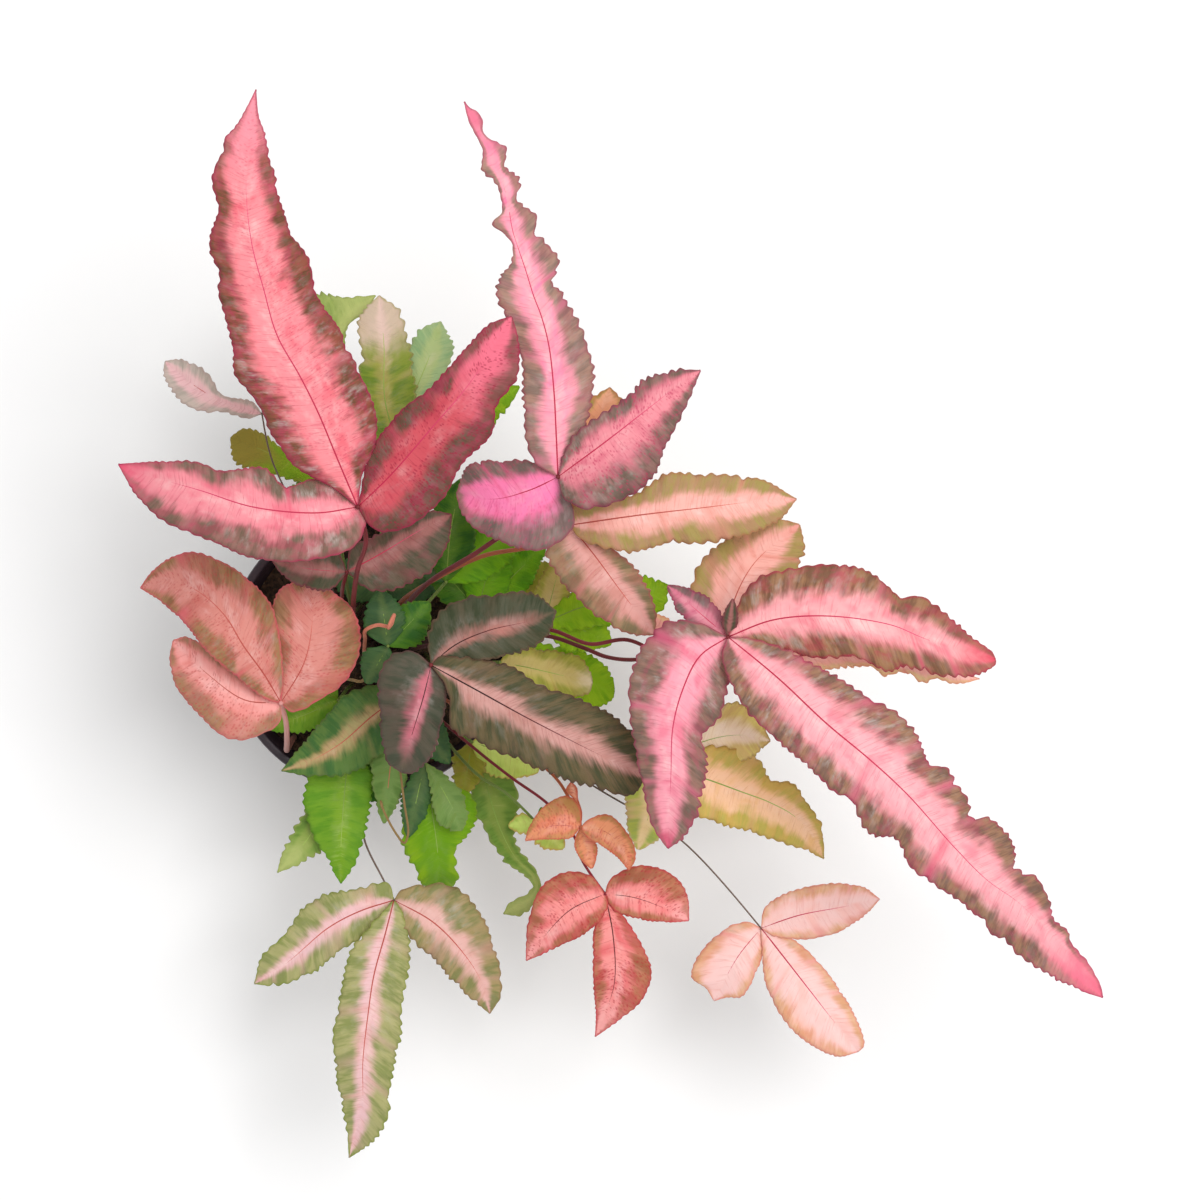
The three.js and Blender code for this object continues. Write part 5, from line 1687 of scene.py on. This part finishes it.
GREEN_FRONT_LEFT = (
    Leaflet((341, 884), (2, -8), 5, Look.SPRING,
            rib=((344, 800), (341, 846)),
            left=((370, 768), (370, 800), (363, 838), (352, 868)),
            right=((318, 766), (304, 790), (312, 830), (328, 862))),
    Leaflet((277, 873), (-4, -12), 3, Look.FERN,
            rib=((328, 805), (303, 845)),
            left=((340, 822), (318, 852), (298, 864)),
            right=((312, 798), (296, 828), (282, 856))),
    Leaflet((396, 806), (1, -4), 3, Look.FIELD, width=34),
)
GREEN_FRONT = (
    Leaflet((440, 895), (-2, -32), 4, Look.MEADOW,
            rib=((432, 810), (438, 855)),
            left=((446, 778), (472, 797), (476, 815), (467, 835), (457, 846), (455, 866), (456, 882)),
            right=((412, 786), (404, 812), (403, 846), (409, 858), (417, 868), (421, 882))),
    Leaflet((462, 831), (6, 2), 3, Look.SAGE,
            rib=((444, 792), (455, 813)),
            left=((446, 776), (463, 796), (468, 817)),
            right=((430, 788), (433, 812), (446, 829))),
    Leaflet((408, 838), (5, -4), 3, Look.DEEP, width=30),
)
GREEN_FRONT_RIGHT = (
    Leaflet((503, 914), (0, -14), 8, Look.FERN,
            rib=((486, 784), (500, 828), (516, 858), (531, 872), (537, 884), (532, 898)),
            left=((506, 768), (518, 800), (513, 830), (518, 848), (527, 860), (537, 872), (541, 886),
                  (536, 902), (520, 915)),
            right=((468, 776), (476, 812), (491, 840), (505, 860), (514, 868), (527, 877), (533, 886),
                   (525, 895), (510, 903))),
    Leaflet((539, 772), (2, -2), 4, Look.CITRON, width=50, bend=3),
    Leaflet((463, 796), (2, 0), 3, Look.OLIVE, width=34),
)
GREEN_FRONT_SMALL = (
    Leaflet((564, 849), (0, -3), 3, Look.CITRON, width=30),
    Leaflet((560, 815), (2, 0), 3, Look.LEAF, width=24),
    Leaflet((508, 826), (-2, -6), 3, Look.CITRON, width=20),
)

FRONDS: tuple[Frond, ...] = (
    Frond("frond_pink_back_left", PINK_BACK_LEFT, hub=(358, 507, 250), radius=1.1, root=5,
          via=((352, 644, 150), (353, 612, 180), (354, 594, 203), (358, 568, 224), (366, 540, 238)),
          stalk=Stalk.WINE, edge=Edge.TRIM, rib=Stalk.CERISE, slot="leaf_pink"),
    Frond("frond_brown_back_left", BROWN_BACK_LEFT, hub=(347, 572, 208), radius=0.9, root=12,
          via=((344, 628, 150), (342, 593, 181)),
          stalk=Stalk.WINE, edge=Edge.FINE, rib=Stalk.CERISE, slot="leaf_dark"),
    Frond("frond_pink_back_middle", PINK_BACK_MIDDLE, hub=(558, 477, 250), radius=1.1, root=5,
          via=((405, 606, 168), (432, 580, 193), (482, 549, 216), (530, 512, 238)),
          stalk=Stalk.WINE, edge=Edge.FINE, rib=Stalk.CERISE, slot="leaf_pink"),
    Frond("frond_salmon_back_right", SALMON_BACK_RIGHT, hub=(570, 525, 222), radius=1, root=11,
          via=((398, 606, 150), (420, 588, 174), (480, 557, 191), (545, 543, 213)),
          stalk=Stalk.RUSSET, edge=Edge.FINE, rib=Stalk.TERRACOTTA, slot="leaf_salmon"),
    Frond("frond_pink_right", PINK_RIGHT, hub=(728, 637, 240), radius=0.9, root=8,
          via=((430, 640, 136), (500, 637, 156), (547, 636, 168), (584, 648, 179), (607, 657, 187),
               (644, 659, 204)),
          stalk=Stalk.WINE, edge=Edge.FINE, rib=Stalk.CERISE, slot="leaf_pink"),
    Frond("frond_salmon_right", SALMON_RIGHT, hub=(722, 680, 203), radius=0.9, root=14,
          via=((425, 646, 150), (500, 628, 176), (551, 630, 186), (590, 644, 192), (628, 640, 195),
               (676, 664, 198)),
          stalk=Stalk.WINE, edge=Edge.FINE, rib=Stalk.TERRACOTTA, slot="leaf_salmon"),
    Frond("frond_olive_right", OLIVE_RIGHT, hub=(655, 765, 180), radius=0.9, root=14,
          via=((440, 676, 140), (540, 715, 163)),
          stalk=Stalk.RUSSET, edge=Edge.FINE, slot="leaf_salmon"),
    Frond("frond_dark_centre", DARK_CENTRE, hub=(431, 665, 212), radius=1, root=4,
          via=((408, 660, 170),),
          stalk=Stalk.WINE, edge=Edge.FINE, rib=Stalk.WINE, slot="leaf_dark"),
    Frond("frond_coral_left", CORAL_LEFT, hub=(281, 703, 184), radius=1.2, root=(294, 738),
          via=((287, 750, 116), (287, 742, 136), (286, 722, 162)),
          stalk=Stalk.ROSY, edge=Edge.SOFT, rib=Stalk.TERRACOTTA, slot="leaf_salmon"),
    Frond("frond_striped_front_left", STRIPED_FRONT_LEFT, hub=(394, 900, 128), radius=0.45, root=25,
          via=((371, 745, 116), (363, 800, 121), (364, 838, 124), (383, 879, 127)),
          stalk=Stalk.TWIG, edge=Edge.FINE, rib=Stalk.TERRACOTTA, slot="leaf_salmon"),
    Frond("frond_crimson_front", CRIMSON_FRONT, hub=(605, 894, 150), radius=0.65, root=15,
          via=((425, 706, 134), (480, 753, 145), (512, 778, 146), (549, 805, 150), (574, 836, 151),
               (582, 860, 151)),
          stalk=Stalk.CHERRY, edge=Edge.SOFT, rib=Stalk.CHERRY, slot="leaf_pink"),
    Frond("frond_orange_front", ORANGE_FRONT, hub=(581, 827, 172), radius=0.75, root=10,
          via=((428, 686, 140), (480, 726, 157), (550, 772, 165), (569, 798, 169)),
          stalk=Stalk.RUSSET, edge=Edge.SOFT, rib=Stalk.TERRACOTTA, slot="leaf_salmon"),
    Frond("frond_pale_front_right", PALE_FRONT_RIGHT, hub=(761, 928, 130), radius=0.4, root=22,
          via=((444, 692, 116), (520, 741, 119), (600, 790, 123), (682, 841, 126)),
          stalk=Stalk.TWIG, edge=Edge.SOFT, rib=Stalk.CERISE, slot="leaf_pink"),
    Frond("frond_grey_far_left", GREY_FAR_LEFT, hub=(262, 414, 190), radius=0.4, root=15,
          via=((345, 622, 124), (322, 560, 160), (272, 460, 184)),
          stalk=Stalk.TWIG, edge=Edge.FINE, rib=Stalk.TERRACOTTA, slot="leaf_salmon"),
    Frond("frond_green_back", GREEN_BACK, hub=(398, 447, 165), radius=0.8, root=16,
          via=((378, 600, 126), (383, 520, 150))),
    Frond("frond_green_far_left", GREEN_FAR_LEFT, hub=(332, 490, 148), radius=0.8, root=20,
          via=((352, 608, 121), (340, 540, 140))),
    Frond("frond_green_middle_back", GREEN_MIDDLE_BACK, hub=(446, 582, 156), radius=0.8, root=18,
          via=((410, 622, 130),)),
    Frond("frond_green_middle", GREEN_MIDDLE, hub=(478, 610, 136), radius=0.8, root=22,
          via=((428, 628, 118),)),
    Frond("frond_green_centre_back", GREEN_CENTRE_BACK, hub=(386, 592, 112), radius=0.7, root=(388, 602)),
    Frond("frond_green_crown", GREEN_CROWN, hub=(388, 646, 184), radius=0.8, root=(376, 652),
          via=((380, 650, 140),)),
    Frond("frond_green_right", GREEN_RIGHT, hub=(545, 622, 150), radius=0.8, root=20,
          via=((436, 646, 124), (500, 634, 142))),
    Frond("frond_olive_middle", OLIVE_MIDDLE, hub=(500, 662, 142), radius=0.8, root=23,
          via=((440, 664, 121),),
          edge=Edge.FINE),
    Frond("frond_green_left", GREEN_LEFT, hub=(338, 700, 128), radius=0.75, root=17),
    Frond("frond_striped_left", STRIPED_LEFT, hub=(398, 697, 152), radius=0.8, root=10,
          edge=Edge.FINE, rib=Stalk.TERRACOTTA),
    Frond("frond_green_front_left", GREEN_FRONT_LEFT, hub=(348, 756, 134), radius=0.8, root=24,
          via=((362, 726, 119),)),
    Frond("frond_green_front", GREEN_FRONT, hub=(425, 762, 144), radius=0.8, root=22,
          via=((400, 718, 126),)),
    Frond("frond_green_front_right", GREEN_FRONT_RIGHT, hub=(472, 742, 126), radius=0.75, root=26,
          via=((430, 712, 114),)),
    Frond("frond_green_front_small", GREEN_FRONT_SMALL, hub=(536, 822, 138), radius=0.65, root=20,
          via=((444, 738, 129), (478, 775, 139), (506, 793, 141))),
)

CROZIERS: tuple[Crozier, ...] = (
    Crozier("crozier_pink", radius=0.75, root=(366, 664), stalk=Stalk.CROZIER,
            route=((364, 656, 150), (365, 640, 178), (367, 629, 197), (378, 625, 201), (390, 626, 203)),
            turns=1.2, coil=3.6, towards=(398, 607)),
    Crozier("crozier_pale", radius=0.65, root=(344, 672), stalk=Stalk.BRONZE,
            route=((345, 678, 140), (353, 680, 160), (362, 681, 164), (372, 670, 168)),
            turns=1, coil=3.2, towards=(390, 656)),
    Crozier("crozier_hooked", radius=0.45, root=(380, 668), stalk=Stalk.BRONZE,
            route=((384, 674, 140), (392, 688, 172), (399, 760, 180), (404, 801, 176), (408, 834, 169),
                   (404, 843, 166), (395, 832, 165), (383, 809, 166)),
            turns=0.8, coil=2.2, towards=(380, 796)),
)


@dataclass(frozen=True)
class PlasticFinish:
    """Moulded nursery plastic: nearly black plum, with faint turning marks, scuffs and dust."""

    body: Colour = (40, 30, 40)
    worn: Colour = (62, 44, 54)
    dust: Colour = (112, 96, 86)

    def dress(self, name: str) -> bpy.types.Material:
        """Build the finish.

        Args:
            name: The finish's name.

        Returns:
            The material.
        """
        graph = Graph(name)
        place = graph.place()
        x, y, z = graph.parts(place)
        flat = graph.point(graph.times(x, 3.0), graph.times(y, 3.0), graph.times(z, 900.0))
        rings = graph.cloud(flat, 1.0, 3.0)
        scuffs = graph.cloud(place, 260.0, 5.0, 0.7)
        clouds = graph.cloud(place, 30.0, 3.0)
        colour = graph.blend(graph.ramp(clouds, 0.35, 0.7), linear(self.body), linear(self.worn))
        colour = graph.blend(graph.times(graph.ramp(scuffs, 0.6, 0.78), 0.35), colour, linear(self.dust))
        graph.relief(graph.add(graph.times(rings, 0.7), graph.times(scuffs, 0.4)), 0.0003, 0.35)
        return graph.finish(colour, graph.math("MULTIPLY_ADD", scuffs, 0.35, 0.25), 0.5)


@dataclass(frozen=True)
class SoilFinish:
    """Damp peaty potting soil with fibres and small pale specks."""

    dark: Colour = (38, 27, 21)
    light: Colour = (84, 62, 46)
    speck: Colour = (140, 122, 100)

    def dress(self, name: str) -> bpy.types.Material:
        """Build the finish.

        Args:
            name: The finish's name.

        Returns:
            The material.
        """
        graph = Graph(name)
        place = graph.place()
        grain = graph.cloud(place, 420.0, 5.0, 0.65)
        clumps = graph.cloud(place, 90.0, 3.0)
        colour = graph.blend(graph.ramp(grain, 0.38, 0.66), linear(self.dark), linear(self.light))
        colour = graph.blend(graph.times(graph.ramp(clumps, 0.5, 0.7), 0.5), colour, linear(self.dark))
        specks = graph.off(graph.ramp(graph.cells(place, 300.0), 0.1, 0.2))
        colour = graph.blend(graph.times(specks, 0.5), colour, linear(self.speck))
        graph.relief(grain, 0.0012, 0.7)
        return graph.finish(colour, 0.92, 0.3)


class Base(Enum):
    """The finishes of the pot and the soil."""

    PLASTIC = PlasticFinish()
    SOIL = SoilFinish()


def turned(profile: Sequence[tuple[float, float]], steps: int) -> bmesh.types.BMesh:
    """Turn a profile round the upright axis.

    Args:
        profile: Radii and heights in millimetres. It starts and ends on the axis.
        steps: How many faces it has round it.

    Returns:
        The closed mesh.
    """
    part = bmesh.new()
    verts = [part.verts.new((MM * radius, 0.0, MM * height)) for radius, height in profile]
    edges = [part.edges.new(pair) for pair in zip(verts, verts[1:])]
    bmesh.ops.spin(
        part, geom=verts + edges, axis=(0, 0, 1), angle=2 * math.pi, steps=steps, use_merge=True
    )
    bmesh.ops.remove_doubles(part, verts=part.verts, dist=1e-6)
    bmesh.ops.recalc_face_normals(part, faces=part.faces)
    return part


@dataclass(frozen=True)
class Pot:
    """The round nursery pot: a tapered wall with a rim band, a floor and drain holes."""

    height: float = 105
    rim_radius: float = 60
    base_radius: float = 42
    wall: float = 1.6
    floor: float = 2.4
    band_height: float = 13
    band_depth: float = 2.2
    foot_edge: tuple[float, float] = (1, 1.5)
    lip: float = 1
    lip_edge: float = 0.5
    sides: int = 112
    drain_count: int = 6
    drain_radius: float = 4
    drain_ring: float = 28

    SHARP = math.radians(20)
    ROUNDING = 0.25

    def outer(self, z: float) -> float:
        """Return the wall's outer radius at the height z, under the rim band."""
        return self.base_radius + (self.rim_radius - self.band_depth - self.base_radius) * z / self.height

    def inner(self, z: float) -> float:
        """Return the wall's inner radius at the height z."""
        return self.outer(z) - self.wall

    def profile(self) -> list[tuple[float, float]]:
        """Draw the pot's profile.

        Returns:
            Radii and heights, from the axis below round to the axis above.
        """
        band_foot = self.height - self.band_height
        lip_foot = self.height - self.lip
        return [
            (0, 0),
            (self.base_radius - self.foot_edge[0], 0),
            (self.base_radius, self.foot_edge[1]),
            (self.outer(band_foot), band_foot),
            (self.rim_radius - self.lip_edge, band_foot + self.lip_edge),
            (self.rim_radius, lip_foot),
            (self.rim_radius - self.lip_edge, self.height),
            (self.inner(self.height) + self.lip_edge, self.height),
            (self.inner(lip_foot), lip_foot),
            (self.inner(self.floor), self.floor),
            (0, self.floor),
        ]

    def build(self, wardrobe: Wardrobe) -> bpy.types.Object:
        """Build the pot.

        Args:
            wardrobe: The finishes.

        Returns:
            The finished piece.
        """
        part = turned(self.profile(), self.sides)
        sharp = [edge for edge in part.edges if edge.calc_face_angle(0.0) > self.SHARP]
        bmesh.ops.bevel(
            part, geom=sharp, offset=self.ROUNDING * MM, segments=2, profile=0.5, affect="EDGES", material=-1
        )
        shape = Shape()
        for face in part.faces:
            face.smooth = True
        shape.take(part, wardrobe[Base.PLASTIC])
        pot = shape.piece("pot_fine")
        self.drill(pot)
        return pot

    def drill(self, pot: bpy.types.Object) -> None:
        """Cut the drain holes.

        Args:
            pot: The pot, which is changed.
        """
        drills = bmesh.new()
        for index in range(self.drain_count):
            turn = 2 * math.pi * index / self.drain_count
            middle = MM * Vector((
                self.drain_ring * math.cos(turn), self.drain_ring * math.sin(turn), self.floor / 2
            ))
            bmesh.ops.create_cone(
                drills,
                cap_ends=True,
                segments=32,
                radius1=self.drain_radius * MM,
                radius2=self.drain_radius * MM,
                depth=3 * self.floor * MM,
                matrix=Matrix.Translation(middle),
            )
        data = bpy.data.meshes.new("drills")
        drills.to_mesh(data)
        drills.free()
        cutter = bpy.data.objects.new("drills", data)
        bpy.context.scene.collection.objects.link(cutter)
        cut = pot.modifiers.new("drain holes", "BOOLEAN")
        cut.operation = "DIFFERENCE"
        cut.solver = "EXACT"
        cut.object = cutter
        state = bpy.context.evaluated_depsgraph_get()
        drilled = bpy.data.meshes.new_from_object(pot.evaluated_get(state))
        pot.modifiers.remove(cut)
        pot.data = drilled
        bpy.data.objects.remove(cutter)


@dataclass(frozen=True)
class Soil:
    """The potting soil, mounded and crumbly on top."""

    pot: Pot = field(default_factory=Pot)
    gap: float = 0.3
    lump: float = 1.4
    rings: int = 30
    crumbs: int = 420

    TOP = 92.0
    SEED = 92
    ROUGH = 0.9
    ROUGH_TO = 4
    CRUMBS_TO = 2.5

    def mound(self, x: float, y: float) -> float:
        """Say how far the surface rises over the soil's top.

        Args:
            x: Millimetres along x.
            y: Millimetres along y.

        Returns:
            The rise in millimetres.
        """
        fade = 1 - (math.hypot(x, y) / self.pot.inner(self.TOP)) ** 4
        broad = math.sin(0.21 * x + 1) * math.cos(0.17 * y)
        narrow = 0.5 * math.sin(0.11 * y - 0.29 * x)
        return self.lump * fade * (broad + narrow)

    def build(self, wardrobe: Wardrobe) -> bpy.types.Object:
        """Build the soil.

        Args:
            wardrobe: The finishes.

        Returns:
            The finished piece.
        """
        foot = self.pot.floor + self.gap
        edge = self.pot.inner(self.TOP) - self.gap
        profile = [(0, foot), (self.pot.inner(foot) - self.gap, foot)]
        profile += [(edge * ring / self.rings, self.TOP) for ring in range(self.rings, -1, -1)]
        part = turned(profile, self.pot.sides)
        for vert in part.verts:
            if vert.co.z < MM * (self.TOP - 1):
                continue
            x, y = vert.co.x / MM, vert.co.y / MM
            rough = noise.noise(Vector((0.35 * x, 0.35 * y, 4.0))) + 0.5 * noise.noise(Vector((x, y, 9.0)))
            inside = min(1.0, (edge - math.hypot(x, y)) / self.ROUGH_TO)
            vert.co.z += MM * (self.mound(x, y) + self.ROUGH * rough * inside)
        draw = random.Random(self.SEED)
        for _ in range(self.crumbs):
            reach, turn = (edge - self.CRUMBS_TO) * math.sqrt(draw.random()), draw.uniform(0, 2 * math.pi)
            x, y = reach * math.cos(turn), reach * math.sin(turn)
            size = 0.5 + 1.5 * draw.random() ** 3
            middle = Vector((x, y, self.TOP + self.mound(x, y) + 0.25 * size))
            form = Matrix.Diagonal((*(size * draw.uniform(0.6, 1.3) for _ in range(3)), 1.0))
            tilt = Matrix.Rotation(draw.uniform(0, 3), 4, Vector((draw.random(), draw.random(), 0.3)))
            matrix = Matrix.Scale(MM, 4) @ Matrix.Translation(middle) @ tilt @ form
            bmesh.ops.create_icosphere(part, subdivisions=1, radius=1, matrix=matrix)
        shape = Shape()
        shape.take(part, wardrobe[Base.SOIL])
        return shape.piece("soil_fine")


@dataclass(frozen=True)
class Studio:
    """A pale floor, soft light and the camera straight above."""

    floor_size: float = 4.0
    floor_colour: Colour = (250, 250, 250)
    sky: float = 0.68
    key_power: float = 44.0
    key_size: float = 1.3
    key_place: tuple[float, float, float] = (0.8, 0.45, 2.8)
    camera_place: tuple[float, float, float] = (PLAN.x * MM, PLAN.y * MM, PLAN.height * MM)
    sensor: float = 36.0

    def build(self) -> None:
        """Set up the floor, the light and the camera."""
        scene = bpy.context.scene
        scene.view_settings.view_transform = "Standard"
        part = bmesh.new()
        bmesh.ops.create_grid(part, x_segments=1, y_segments=1, size=self.floor_size / 2)
        data = bpy.data.meshes.new("floor")
        part.to_mesh(data)
        part.free()
        graph = Graph("pale_floor")
        data.materials.append(graph.finish(linear(self.floor_colour), 0.9, 0.0))
        floor = bpy.data.objects.new("floor", data)
        scene.collection.objects.link(floor)
        world = bpy.data.worlds.new("soft_sky")
        world.use_nodes = True
        sky = world.node_tree.nodes["Background"]
        sky.inputs["Color"].default_value = (1.0, 1.0, 1.0, 1.0)
        sky.inputs["Strength"].default_value = self.sky
        scene.world = world
        lamp = bpy.data.lights.new("softbox", "AREA")
        lamp.shape = "DISK"
        lamp.size = self.key_size
        lamp.energy = self.key_power
        key = bpy.data.objects.new("softbox", lamp)
        key.location = self.key_place
        towards = Vector((self.camera_place[0], self.camera_place[1], 0.1)) - Vector(self.key_place)
        key.rotation_euler = towards.to_track_quat("-Z", "Y").to_euler()
        key.visible_camera = False
        scene.collection.objects.link(key)
        lens = bpy.data.cameras.new("camera")
        lens.sensor_width = self.sensor
        lens.lens = self.sensor * PLAN.reach / PLAN.size
        camera = bpy.data.objects.new("camera", lens)
        camera.location = self.camera_place
        scene.collection.objects.link(camera)
        scene.camera = camera


def seat(piece: bpy.types.Object, node: str) -> None:
    """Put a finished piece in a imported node's place and report it.

    Args:
        piece: The piece.
        node: The node that it stands for.
    """
    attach(piece, "root")
    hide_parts(node)
    LOG.info("%s: %d faces", piece.name, len(piece.data.polygons))


def main() -> None:
    """Build every piece in order and log each one's face count."""
    logging.basicConfig(level=logging.INFO, format="%(name)s: %(message)s")
    Studio().build()
    wardrobe = Wardrobe()
    seat(Pot().build(wardrobe), "pot")
    seat(Soil().build(wardrobe), "soil")
    for number, frond in enumerate(FRONDS, start=1):
        seat(frond.build(wardrobe, number), frond.node)
    for number, crozier in enumerate(CROZIERS, start=len(FRONDS) + 1):
        seat(crozier.build(wardrobe, number), crozier.node)


if __name__ == "__main__":
    main()
